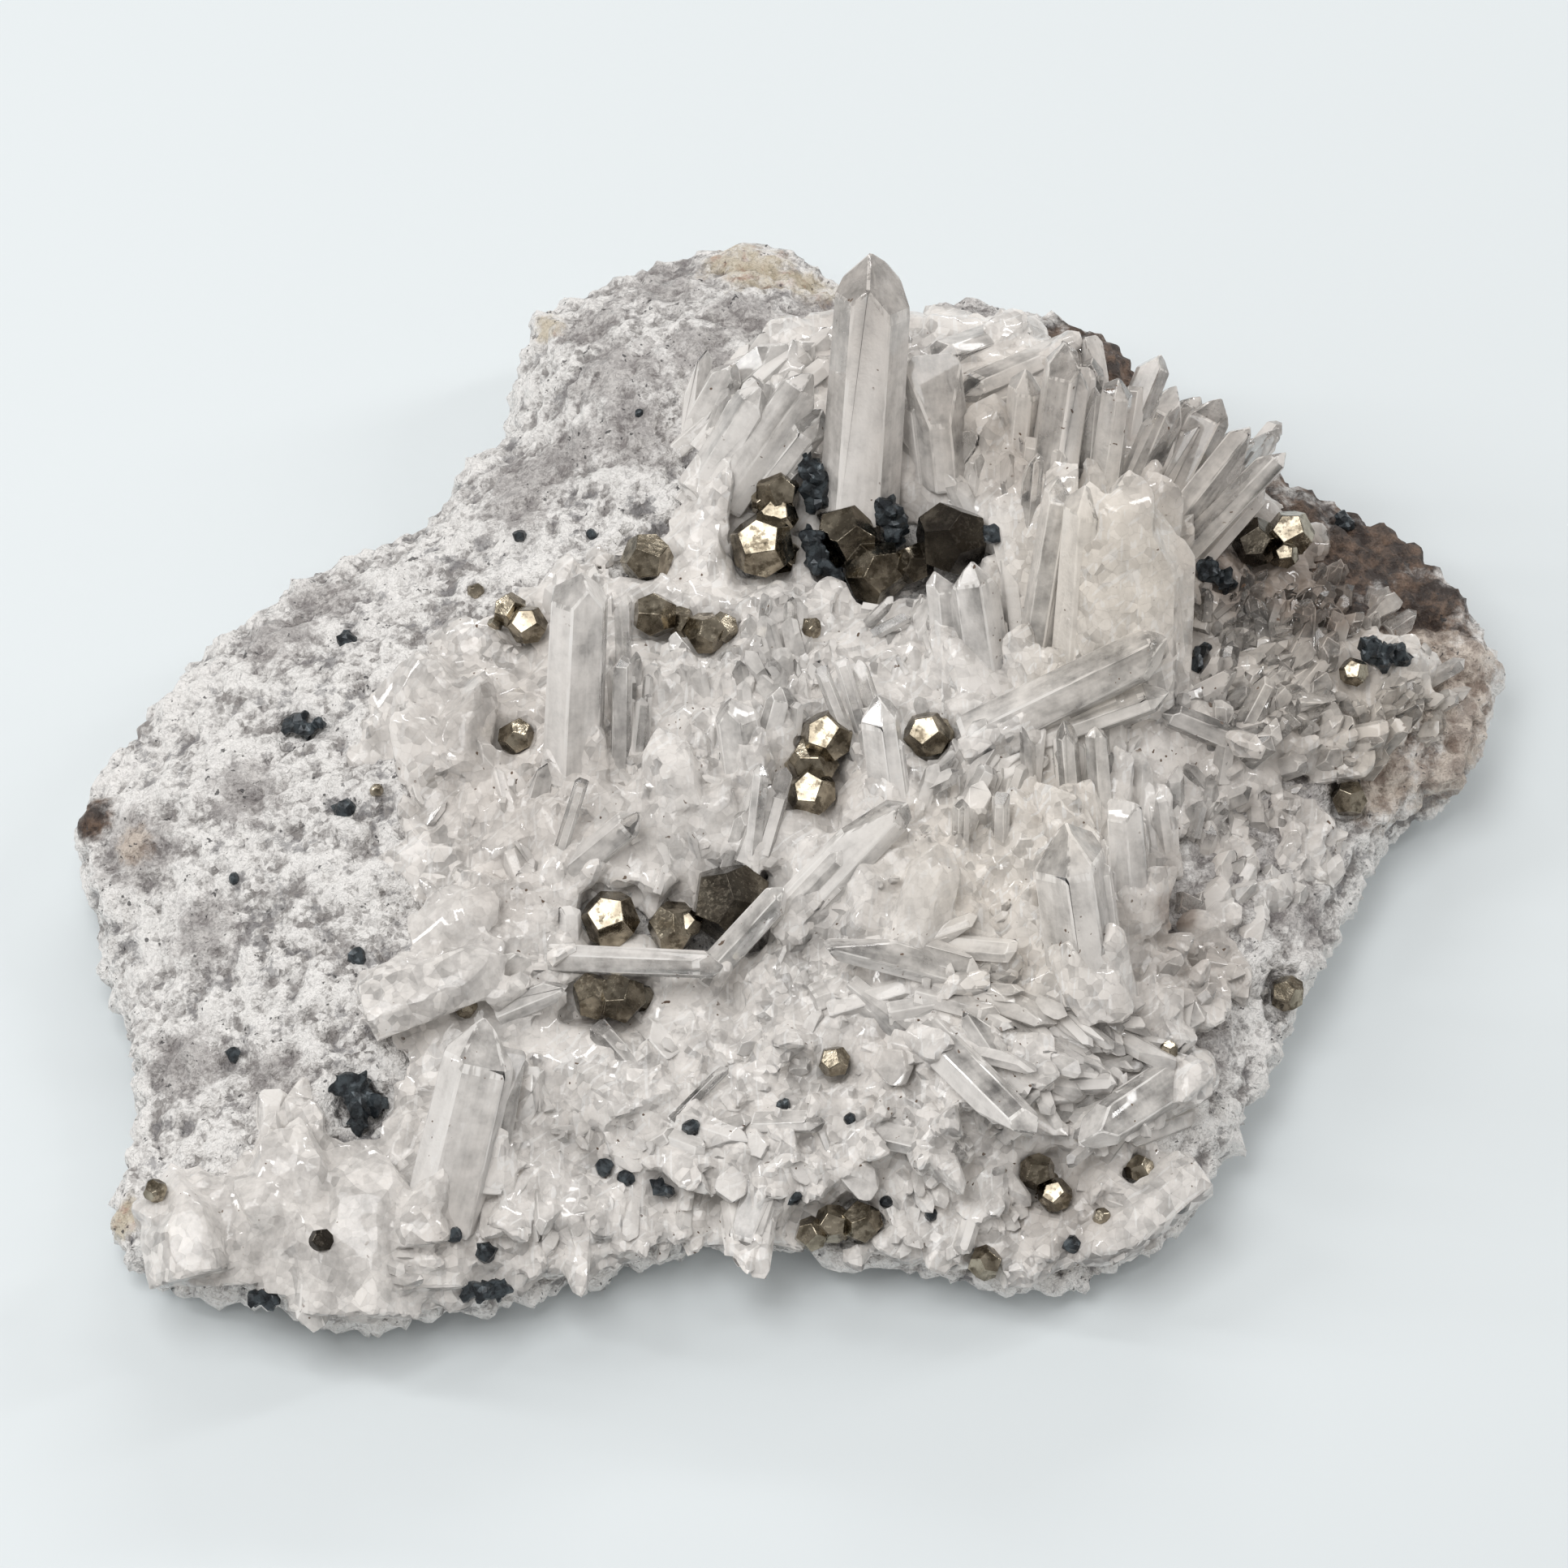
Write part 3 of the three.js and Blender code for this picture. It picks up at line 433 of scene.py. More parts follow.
# Darker, smokier areas of the quartz: middle and reach in the picture, and how much
SMOKE = [
    ((1540, 700), 120, 0.95),
    ((1640, 800), 120, 0.62),
    ((1500, 800), 90, 0.5),
    ((1600, 900), 120, 0.42),
    ((1700, 880), 100, 0.4),
    ((1500, 920), 90, 0.5),
    ((1560, 1000), 90, 0.5),
    ((1200, 500), 100, 0.6),
    ((1250, 570), 70, 0.65),
    ((1150, 570), 60, 0.45),
    ((1330, 460), 70, 0.6),
    ((1480, 560), 115, 0.68),
    ((1400, 510), 90, 0.65),
    ((1010, 960), 70, 0.5),
    ((860, 1130), 70, 0.45),
    ((650, 780), 60, 0.4),
    ((1100, 640), 70, 0.5),
    ((640, 940), 190, 0.42),
    ((620, 1090), 70, 0.4),
    ((1310, 1490), 90, 0.5),
    ((1440, 1150), 90, 0.6),
    ((1450, 1122), 50, 1.0),
    ((1490, 1190), 90, 0.6),
    ((1470, 1060), 80, 0.6),
    ((1630, 725), 120, 1.0),
    ((1400, 1240), 60, 0.35),
    ((560, 1510), 70, 0.35),
    ((1085, 1300), 60, 0.3),
    ((760, 1240), 60, 0.4),
    ((1060, 370), 95, 0.58),
    ((1060, 450), 95, 0.58),
    ((1062, 530), 95, 0.5),
]

# Creamier areas of the quartz, read the same way
CREAM = [
    ((1370, 700), 170, 1.0),
    ((1340, 830), 110, 0.8),
    ((1200, 1080), 150, 0.6),
    ((1300, 1000), 110, 0.6),
    ((1250, 1180), 120, 0.5),
    ((1620, 800), 170, 0.6),
    ((1240, 520), 120, 0.5),
    ((1720, 900), 120, 0.9),
]

# Areas of smooth, stout quartz, read the same way
CALM = [
    ((350, 1500), 260, 1.0),
    ((560, 1200), 150, 1.0),
    ((560, 870), 110, 0.8),
    ((840, 1020), 100, 0.8),
    ((1130, 1090), 110, 0.7),
    ((1390, 720), 150, 0.5),
]

forward = Vector((0, math.cos(SIGHT_ELEVATION), -math.sin(SIGHT_ELEVATION)))
upward = Vector((0, math.sin(SIGHT_ELEVATION), math.cos(SIGHT_ELEVATION)))
eye = SIGHT_AIM - SIGHT_DISTANCE * forward
glint = (LIGHT_WAY - forward).normalized()


def ray_through(pixel):
    """The way from the eye through a pixel of the picture."""
    across = (pixel[0] - PICTURE_SIDE / 2) * METRES_PER_PX
    up = (PICTURE_SIDE / 2 - pixel[1]) * METRES_PER_PX
    return SIGHT_DISTANCE * forward + up * upward + Vector((across, 0, 0))


def at_height(pixel, z):
    """The place at height z behind a pixel."""
    ray = ray_through(pixel)
    return eye + ray * ((z - eye.z) / ray.z)


def to_pixels(places):
    """Where places show in the picture, one row for each."""
    ways = np.asarray(places) - np.array(eye)
    scale = SIGHT_DISTANCE / METRES_PER_PX / (ways @ np.array(forward))
    across = PICTURE_SIDE / 2 + ways[:, 0] * scale
    down = PICTURE_SIDE / 2 - ways @ np.array(upward) * scale
    return np.stack((across, down), 1)


def on_ground(ground, pixel, lift=0.0):
    """The place where the sight through a pixel meets the ground, or its nearest one, lifted."""
    place = ground.ray_cast(eye, ray_through(pixel).normalized())[0]
    if place is None:
        place = ground.find_nearest(at_height(pixel, 8 * MM))[0]
    return place + Vector((0, 0, lift))


# Making and shaping meshes


def only(*pieces):
    """Selects the pieces alone, the first one active."""
    bpy.ops.object.select_all(action="DESELECT")
    for piece in pieces:
        piece.select_set(True)
    bpy.context.view_layer.objects.active = pieces[0]


def started(primitive, name, **settings):
    """A new primitive, with nothing else selected."""
    bpy.ops.object.select_all(action="DESELECT")
    primitive(**settings)
    bpy.context.object.name = name
    return bpy.context.object


def settle(piece):
    """Puts a piece's place into its mesh."""
    piece.data.transform(piece.matrix_world)
    piece.matrix_world = Matrix.Identity(4)


def discard(pieces):
    for piece in pieces:
        bpy.data.objects.remove(piece)


def edit(piece, *steps):
    """Runs edit-mode steps on all of a piece."""
    only(piece)
    bpy.ops.object.mode_set(mode="EDIT")
    for step in steps:
        bpy.ops.mesh.select_all(action="SELECT")
        step()
    bpy.ops.object.mode_set(mode="OBJECT")


def finish_with(piece, kind, **settings):
    """Adds a modifier of that kind and applies it."""
    only(piece)
    modifier = piece.modifiers.new(kind.title(), kind)
    for name, value in settings.items():
        setattr(modifier, name, value)
    bpy.ops.object.modifier_apply(modifier=modifier.name)


def merged_copy(node, name):
    """A copy of a solid, with its loose triangles joined."""
    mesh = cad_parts[node].data.copy()
    mesh.materials.clear()
    piece = bpy.data.objects.new(name, mesh)
    bpy.context.scene.collection.objects.link(piece)
    edit(piece, lambda: bpy.ops.mesh.remove_doubles(threshold=0.002 * MM))
    return piece


def points_of(mesh):
    points = np.empty(3 * len(mesh.vertices))
    mesh.vertices.foreach_get("co", points)
    return points.reshape(-1, 3)


def normals_of(mesh):
    normals = np.empty(3 * len(mesh.vertices))
    mesh.vertex_normals.foreach_get("vector", normals)
    return normals.reshape(-1, 3)


def move_points(mesh, points):
    mesh.vertices.foreach_set("co", np.asarray(points, dtype=np.float32).ravel())
    mesh.update()


def push_out(mesh, relief):
    """Moves each point out along its normal by its relief."""
    points = points_of(mesh)
    height = np.array([relief(Vector(p)) for p in points])
    move_points(mesh, points + normals_of(mesh) * height[:, None])


def corners_of(mesh):
    """The point that each corner of the faces is at."""
    corners = np.empty(len(mesh.loops), dtype=np.int32)
    mesh.loops.foreach_get("vertex_index", corners)
    return corners


def keep(mesh, name, kind, field, values):
    """Keeps a value for each corner of the faces, for a material to read."""
    attribute = mesh.attributes.get(name) or mesh.attributes.new(name, kind, "CORNER")
    attribute.data.foreach_set(field, np.asarray(values, dtype=np.float32).ravel())


def mark(mesh, name, values):
    """Keeps each point's number."""
    keep(mesh, name, "FLOAT", "value", np.asarray(values)[corners_of(mesh)])


def mark_places(mesh, name, places):
    """Keeps each point's own place."""
    keep(mesh, name, "FLOAT_VECTOR", "vector", np.asarray(places)[corners_of(mesh)])


def mark_soft_normals(mesh, name):
    """Keeps the way that light from within leaves: the facets' normals, evened out between
    neighbours and turned up a little."""
    flat = np.empty(3 * len(mesh.polygons))
    mesh.polygon_normals.foreach_get("vector", flat)
    sides = np.empty(len(mesh.polygons), dtype=np.int32)
    mesh.polygons.foreach_get("loop_total", sides)
    flat = np.repeat(flat.reshape(-1, 3), sides, axis=0)
    ways = FACET_SHARE * flat + (1 - FACET_SHARE) * normals_of(mesh)[corners_of(mesh)]
    ways[:, 2] += LIFT * np.clip(1 + ways[:, 2], 0, 1)
    ways /= np.linalg.norm(ways, axis=1)[:, None] + 1e-9
    ways += np.clip(LEAST_FACING - (ways * flat).sum(axis=1), 0, None)[:, None] * flat
    ways /= np.linalg.norm(ways, axis=1)[:, None] + 1e-9
    keep(mesh, name, "FLOAT_VECTOR", "vector", ways)


def shade_flat(piece):
    piece.data.polygons.foreach_set("use_smooth", [False] * len(piece.data.polygons))


def mark_areas(mesh, name, areas):
    """Keeps how much of an area of the picture each point lies in."""
    pixels = to_pixels(points_of(mesh))
    much = np.zeros(len(pixels))
    for middle, reach, share in areas:
        near = AREA_RISE - AREA_RISE * np.linalg.norm(pixels - middle, axis=1) / reach
        much = np.maximum(much, share * np.clip(near, 0, 1))
    mark(mesh, name, much)


def join(pieces, name):
    only(*pieces)
    bpy.ops.object.join()
    pieces[0].name = name
    return pieces[0]


def grown_together(body, pieces, name):
    """Joins pieces that overlap into one solid with the body."""
    group = bpy.data.collections.new("grown")
    for piece in pieces:
        group.objects.link(piece)
    finish_with(body, "BOOLEAN", operation="UNION", solver="MANIFOLD", operand_type="COLLECTION",
                collection=group)
    discard(pieces)
    bpy.data.collections.remove(group)
    body.name = name
    points = points_of(body.data)
    points[:, 2] = np.maximum(points[:, 2], 0)
    move_points(body.data, points)
    only(body)
    bpy.ops.object.shade_smooth_by_angle(angle=SMOOTH_ANGLE)
    return body


def own_copy(master, name="copy"):
    piece = bpy.data.objects.new(name, master.data.copy())
    bpy.context.scene.collection.objects.link(piece)
    return piece


def ground_of(*pieces):
    """One tree of the pieces' faces, to stand things on."""
    points = []
    faces = []
    for piece in pieces:
        first = len(points)
        points.extend(vertex.co.copy() for vertex in piece.data.vertices)
        faces.extend([first + i for i in face.vertices] for face in piece.data.polygons)
    return BVHTree.FromPolygons(points, faces)


# Materials


class Number:
    """A socket whose number can be used in sums."""

    def __init__(self, look, socket):
        self.look = look
        self.socket = socket

    def maths(self, operation, other):
        values = {0: self, 1: other}
        return self.look.number("ShaderNodeMath", {"operation": operation}, values)

    def __add__(self, other):
        return self.maths("ADD", other)

    __radd__ = __add__

    def __mul__(self, other):
        return self.maths("MULTIPLY", other)

    __rmul__ = __mul__

    def __sub__(self, other):
        return self.maths("SUBTRACT", other)

    def __rsub__(self, other):
        return (self * -1) + other

    def most(self, other):
        return self.maths("MAXIMUM", other)

    def least(self, other):
        return self.maths("MINIMUM", other)

    def step(self, low, high):
        """From 0 at low to 1 at high, smoothly."""
        settings = {"interpolation_type": "SMOOTHSTEP"}
        values = {"Value": self, "From Min": low, "From Max": high}
        return self.look.number("ShaderNodeMapRange", settings, values)


class Look:
    """A material made of nodes."""

    def __init__(self, name):
        self.material = bpy.data.materials.new(name)
        self.material.use_nodes = True
        self.tree = self.material.node_tree
        self.tree.nodes.clear()
        self.place = self.add("ShaderNodeTexCoord").outputs["Object"]

    def add(self, kind, settings=None, values=None):
        node = self.tree.nodes.new(kind)
        for name, value in (settings or {}).items():
            setattr(node, name, value)
        for name, value in (values or {}).items():
            self.feed(node.inputs[name], value)
        return node

    def feed(self, socket, value):
        if isinstance(value, Number):
            value = value.socket
        if isinstance(value, bpy.types.NodeSocket):
            self.tree.links.new(value, socket)
        elif hasattr(value, "__len__") and len(value) == 3 and socket.type == "RGBA":
            socket.default_value = (*value, 1)
        else:
            socket.default_value = value

    def number(self, kind, settings=None, values=None, output=0):
        return Number(self, self.add(kind, settings, values).outputs[output])

    def noise(self, size, detail=4.0, roughness=0.55, place=None):
        """Soft noise with bumps of about that size, in metres."""
        place = place or self.place
        values = {"Vector": place, "Scale": 1 / size, "Detail": detail, "Roughness": roughness}
        return self.number("ShaderNodeTexNoise", None, values)

    def vectors(self, operation, first, second, output=0):
        values = {0: first, 1: second}
        return self.add("ShaderNodeVectorMath", {"operation": operation}, values).outputs[output]

    def facets(self, size):
        """Flat faces of about that size: a number of its own for each, and its height in metres."""
        values = {"Vector": self.place, "Scale": 1 / size}
        cells = self.add("ShaderNodeTexVoronoi", None, values).outputs
        tilt = self.vectors("SUBTRACT", cells["Color"], (0.5, 0.5, 0.5))
        away = self.vectors("SUBTRACT", self.place, cells["Position"])
        height = Number(self, self.vectors("DOT_PRODUCT", tilt, away, "Value"))
        tone = self.number("ShaderNodeSeparateColor", None, {0: cells["Color"]})
        return tone, height

    def kept(self, name):
        return self.number("ShaderNodeAttribute", {"attribute_name": name}, None, "Fac")

    def kept_place(self, name):
        return self.add("ShaderNodeAttribute", {"attribute_name": name}).outputs["Vector"]

    def stretched(self, place, scale):
        return self.vectors("MULTIPLY", place, scale)

    def leaned(self, place):
        """Places drawn out along a way that leans to the right and back."""
        settings = {"rotation_type": "Z_AXIS"}
        turned = self.add("ShaderNodeVectorRotate", settings, {"Vector": place, "Angle": math.radians(50)})
        return self.stretched(turned.outputs[0], (1, 0.12, 0.4))

    def blend(self, share, first, second):
        node = self.add("ShaderNodeMix", {"data_type": "RGBA"}, {0: share, 6: first, 7: second})
        return node.outputs[2]

    def bump(self, height, depth, strength=1.0, under=None):
        values = {"Height": height, "Distance": depth, "Strength": strength}
        if under is not None:
            values["Normal"] = under
        return self.add("ShaderNodeBump", None, values).outputs[0]

    def shader(self, **values):
        named = {name.replace("_", " "): value for name, value in values.items()}
        return self.add("ShaderNodeBsdfPrincipled", None, named).outputs[0]

    def finish(self, surface):
        self.add("ShaderNodeOutputMaterial", None, {"Surface": surface})
        return self.material


def rock_look():
    look = Look("altered_rock")
    blotch = look.noise(5 * MM, 3)
    sugar = look.noise(2.4 * MM, 4, 0.65)
    fine = look.noise(0.5 * MM, 2, 0.65)
    grain_tone, grain_height = look.facets(0.8 * MM)
    high = look.kept("high")
    grit = blotch * 0.2 + sugar * 0.35 + fine * 0.2 + grain_tone * 0.1
    # Raised grains are painted whiter and hollows greyer: partly the rock's own grain, partly painted shade
    # in the hollows
    white_grains_and_relief_shade = (grit + (high - 0.5) * 0.28 + 0.075).step(0.36, 0.54)
    colour = look.blend(white_grains_and_relief_shade, (0.31, 0.29, 0.28), (0.93, 0.91, 0.885))
    ragged = look.noise(2.8 * MM, 4, 0.75)
    grey_and_hollow_shade = (ragged + (0.5 - high) * 0.3).step(0.55, 0.66)
    colour = look.blend(grey_and_hollow_shade * 0.6, colour, (0.22, 0.215, 0.225))
    patch = (look.kept("patch") + (ragged - 0.5) * 1.6).step(0.3, 0.7)
    smoke = look.blend((sugar * 0.6 + fine * 0.4).step(0.42, 0.62), (0.25, 0.225, 0.22), (0.54, 0.51, 0.49))
    colour = look.blend(patch * 0.7, colour, smoke)
    ochre = (look.kept("ochre") + (look.noise(3 * MM, 5, 0.65) - 0.5) * 1.5).step(0.35, 0.85)
    rust = look.blend(look.noise(1.8 * MM).step(0.52, 0.68), (0.58, 0.49, 0.34), (0.4, 0.2, 0.1))
    colour = look.blend(ochre * 0.75, colour, rust)
    tan = (look.kept("tan") + (ragged - 0.5) * 1.2).step(0.3, 0.75)
    sand = look.blend(sugar.step(0.4, 0.6), (0.3, 0.22, 0.17), (0.66, 0.56, 0.47))
    colour = look.blend(tan * 0.8, colour, sand)
    brown = (look.kept("brown") + (look.noise(3 * MM, 5, 0.65) - 0.5) * 1.3).step(0.25, 0.7)
    crumbs = look.noise(2.4 * MM, 5, 0.65).step(0.4, 0.68)
    earth = look.blend(crumbs, (0.028, 0.015, 0.01), (0.18, 0.108, 0.068))
    colour = look.blend(brown * 0.95, colour, earth)
    specks = look.noise(0.9 * MM, 2).step(0.66, 0.7) * blotch.step(0.42, 0.52)
    colour = look.blend(specks * 0.85, colour, (0.05, 0.048, 0.05))
    glitter = look.noise(0.3 * MM, 2).step(0.6, 0.68)
    rough = 0.8 - patch * 0.3 - specks * 0.3 - glitter * 0.3
    height = sugar * (1.2 * MM) + fine * (0.35 * MM) + grain_height
    return look.finish(look.shader(Base_Color=colour, Roughness=rough, Normal=look.bump(height, 1)))


def quartz_look():
    look = Look("quartz")
    own = look.kept_place("own_place")
    veil = look.noise(4 * MM, 4, 0.65)
    cloud = look.noise(1.4 * MM, 2, 0.7)
    streak = look.noise(0.8 * MM, 2, 0.6, look.stretched(own, (1, 1, 0.14)))
    needles = look.noise(0.45 * MM, 0, 0.5, look.stretched(look.place, (1, 0.12, 0.3)))
    splinters = look.noise(0.45 * MM, 0, 0.5, look.leaned(look.place))
    edge = look.kept("edge")
    frost = look.kept("frost")
    body = look.kept("milk")
    calm = look.kept("calm")
    massive = body.step(0.7, 0.95)
    jumbled = massive * (0.4 + look.noise(9 * MM, 1).step(0.42, 0.58) * 0.6) * (1 - calm * 0.5)
    large_tone, _ = look.facets(3.4 * MM)
    small_tone, small_height = look.facets(1.2 * MM)
    facet_tone_and_shade = large_tone * 0.5 + small_tone * 0.5
    # Painted highlights: bevel faces are painted lighter and milkier in streaks, standing in for light
    # caught along the edges
    edge_highlights = edge * streak.step(0.42, 0.58)
    wander = (veil - 0.5) * (1 - massive * 0.6) + (streak - 0.5) * 0.3 + frost * 0.4 + edge_highlights * 0.3
    smoke = (look.kept("smoke") * (0.5 + veil)).least(1)
    clearing = jumbled * (0.55 - facet_tone_and_shade) * 0.55 + smoke * 0.15 + calm * massive * (veil + 0.1) * 0.36
    milk = (body + wander - clearing).step(0.05, 1.02)
    # Each facet of the jumbled crust gets a tone of its own: partly random tone, partly painted shade
    # standing in for light on facets turned different ways
    mottle = ((facet_tone_and_shade - 0.5) * jumbled * 0.42 + veil * 0.65 + cloud * 0.35).step(0.36, 0.62)
    crust_tone = look.blend(mottle, (0.69, 0.658, 0.625), (0.89, 0.848, 0.803))
    crystal_tone = look.blend(look.kept("tint"), (0.72, 0.688, 0.655), (0.9, 0.86, 0.815))
    pale = look.blend(massive, crystal_tone, crust_tone)
    frosty = (cloud * 0.5 + streak * 0.5).step(0.56, 0.68)
    # Real frost on some faces and frosty clouds, with the painted edge highlights mixed in
    frost_and_edge_highlights = (frosty * 0.35 + edge_highlights * 0.4 + frost * 0.3).least(1)
    pale = look.blend(frost_and_edge_highlights, pale, (0.88, 0.865, 0.84))
    pale = look.blend(look.kept("cream") * 0.75, pale, (0.8, 0.725, 0.625))
    # Thin white streaks over the milky masses: partly white quartz slivers, partly painted highlights of
    # lit edges and needles
    sliver_highlights = needles.most(splinters).step(0.66, 0.72) * massive * (1 - calm * 0.85)
    pale = look.blend(sliver_highlights * 0.6, pale, (0.97, 0.955, 0.93))
    smoky = look.blend(smoke.step(0.62, 0.92), (0.49, 0.425, 0.37), (0.29, 0.205, 0.15))
    pale = look.blend(smoke * 0.75, pale, smoky)
    speck = look.noise(0.8 * MM, 1).step(0.71, 0.74)
    dust = speck * look.noise(7 * MM, 1).step(0.52, 0.62)
    pale = look.blend(dust, pale, (0.12, 0.07, 0.04))
    waves = (veil * 1.4 + streak * 0.2 + cloud * 0.35) * (0.18 * MM)
    waves = waves + jumbled * small_height * 1.2
    soft = look.bump(waves, 1, 0.85, look.kept_place("soft_normal"))
    clear = look.shader(Base_Color=(1, 0.995, 0.985), Roughness=0.05, IOR=QUARTZ_IOR,
                        Transmission_Weight=1.0)
    milky = look.shader(Base_Color=pale, Roughness=0.5, IOR=QUARTZ_IOR, Coat_Weight=0.8,
                        Coat_Roughness=0.05, Normal=soft)
    share = (milk + dust).least(1)
    mixed = look.add("ShaderNodeMixShader", None, {0: share, 1: clear, 2: milky})
    return look.finish(mixed.outputs[0])


def pyrite_look():
    look = Look("pyrite")
    cloud = look.noise(2.2 * MM, 4)
    pits = look.noise(0.5 * MM, 3, 0.6)
    colour = look.blend(cloud.step(0.35, 0.65), (0.19, 0.163, 0.122), (0.42, 0.372, 0.29))
    tarnish = look.noise(1.6 * MM, 4, 0.6).step(0.5, 0.62) * 0.75
    dark = look.kept("dark")
    colour = look.blend(tarnish, colour, (0.075, 0.06, 0.04))
    # Painted shadow and tarnish: the marked areas are painted near black
    colour = look.blend(dark * 0.95, colour, (0.03, 0.026, 0.022))
    rough = 0.13 + pits.step(0.45, 0.75) * 0.3 + tarnish * 0.15
    relief = look.bump(pits + cloud, 0.06 * MM, 0.4)
    return look.finish(look.shader(Base_Color=colour, Metallic=1.0, Roughness=rough, Normal=relief))


def sphalerite_look():
    look = Look("sphalerite")
    cloud = look.noise(1.2 * MM, 4)
    colour = look.blend(cloud.step(0.4, 0.65), (0.018, 0.022, 0.026), (0.065, 0.08, 0.09))
    rough = 0.16 + look.noise(0.6 * MM, 2) * 0.25
    relief = look.bump(look.noise(0.35 * MM, 3), 0.05 * MM, 0.5)
    return look.finish(look.shader(Base_Color=colour, Metallic=0.35, Roughness=rough, Normal=relief))


# The rock plate


def nearness(points, spots, ground):
    """How near each point is to any of the spots: 1 at its middle, 0 at its reach."""
    near = np.zeros(len(points))
    for pixel, reach in spots:
        place = on_ground(ground, pixel)
        far = np.linalg.norm(points - np.array(place), axis=1) / (reach * MM)
        near = np.maximum(near, 1 - 0.5 * far)
    return np.clip(near, 0, 1)


def rock_relief(point, side):
    """How far the rough rock stands out from its solid at a point, in metres."""
    broad = noise.fractal(point / (7 * MM), 0.8, 2.1, 3)
    lumps = noise.fractal((point + Vector((0.3, 0, 0))) / (2.6 * MM), 0.7, 2.2, 3)
    grains = noise.noise(point / (1.5 * MM))
    knob_distance = noise.voronoi(Vector((point.x, point.y, 0.5 * point.z)) / (2.9 * MM))[0][0]
    knobs = 0.9 - 2.6 * knob_distance * knob_distance
    return (0.45 * broad + 0.9 * lumps + 0.6 * grains + side * (0.5 * broad + 0.9 * knobs)) * MM


def rock_plate():
    piece = merged_copy("rock_plate", "rock_plate_rough")
    finish_with(piece, "REMESH", mode="VOXEL", voxel_size=ROCK_CELL)
    mesh = piece.data
    points = points_of(mesh)
    normals = normals_of(mesh)
    above = np.clip((points[:, 2] - SMOOTH_FOOT) / FOOT_RISE, 0, 1)
    side = np.clip(1 - normals[:, 2] / 0.5, 0, 1)
    height = np.array([rock_relief(Vector(p), s) for p, s in zip(points, side)])
    # The height mark is also used to paint the rock's colour: painted shade in the hollows
    mark(mesh, "high", np.clip(0.5 + height / ROCK_RELIEF, 0, 1))
    points += normals * (height * above)[:, None]
    points[:, 2] = np.maximum(points[:, 2], 0)
    move_points(mesh, points)
    mesh.polygons.foreach_set("use_smooth", [True] * len(mesh.polygons))
    ground = ground_of(piece)
    spots = {"patch": SMOOTH_PATCHES, "ochre": OCHRE_STAINS, "brown": BROWN_STAINS, "tan": TAN_STAINS}
    for name, places in spots.items():
        mark(mesh, name, nearness(points, places, ground))
    return piece


# The quartz crust: the druse's solid up to a little above the crystals' feet


def crust_bed():
    """The crust's rough surface, for small crystals to stand on."""
    piece = merged_copy("quartz_druse", "quartz_crust")
    lid = merged_copy("rock_plate", "lid")
    lid.data.transform(Matrix.Diagonal((LID_SPREAD, LID_SPREAD, 1, 1)))
    lid.data.transform(Matrix.Translation((0, 0, BED_DEPTH + CRUST_THICKNESS + LID_GAP)))
    finish_with(piece, "BOOLEAN", operation="INTERSECT", solver="MANIFOLD", object=lid)
    discard([lid])
    finish_with(piece, "REMESH", mode="VOXEL", voxel_size=CRUST_CELL)
    finish_with(piece, "SMOOTH", factor=0.5, iterations=4)
    push_out(piece.data, crust_relief)
    return piece


def grown_crust(bed, milky):
    """The crust and its milky crystals, merged softly into one mass."""
    piece = join([bed] + milky, "quartz_crust")
    finish_with(piece, "REMESH", mode="VOXEL", voxel_size=MASS_CELL)
    finish_with(piece, "SMOOTH", factor=0.5, iterations=1)
    finish_with(piece, "DECIMATE", ratio=MASS_SHARE)
    mesh = piece.data
    points = points_of(mesh)
    shade_flat(piece)
    mark(mesh, "milk", np.full(len(points), CRUST_MILK))
    mark(mesh, "tint", np.array([0.5 + 0.5 * noise.noise(Vector(p) / (12 * MM)) for p in points]))
    for name in ("edge", "frost"):
        mark(mesh, name, np.zeros(len(points)))
    mark_places(mesh, "own_place", points)
    return piece


def facets(point, size, slope):
    """The height of flat faces of about that size, each with a slope of its own."""
    _, middles = noise.voronoi(point / size)
    tilt = noise.cell_vector(middles[0] * 7.3) - Vector((0.5, 0.5, 0.5))
    return 2 * slope * tilt.dot(point - middles[0] * size) + 0.12 * size * tilt.z


def crust_relief(point):
    return facets(point, 5 * MM, 0.35) + facets(point, 2.1 * MM, 0.3)


# Quartz crystals, by a master that has its shoulder at height 0, its foot at -1, and a width of 1


def cut(place, facing):
    """Cuts off all of a mesh that lies before a plane, in edit mode."""
    bpy.ops.mesh.select_all(action="SELECT")
    bpy.ops.mesh.bisect(plane_co=place, plane_no=facing, use_fill=True, clear_outer=True)


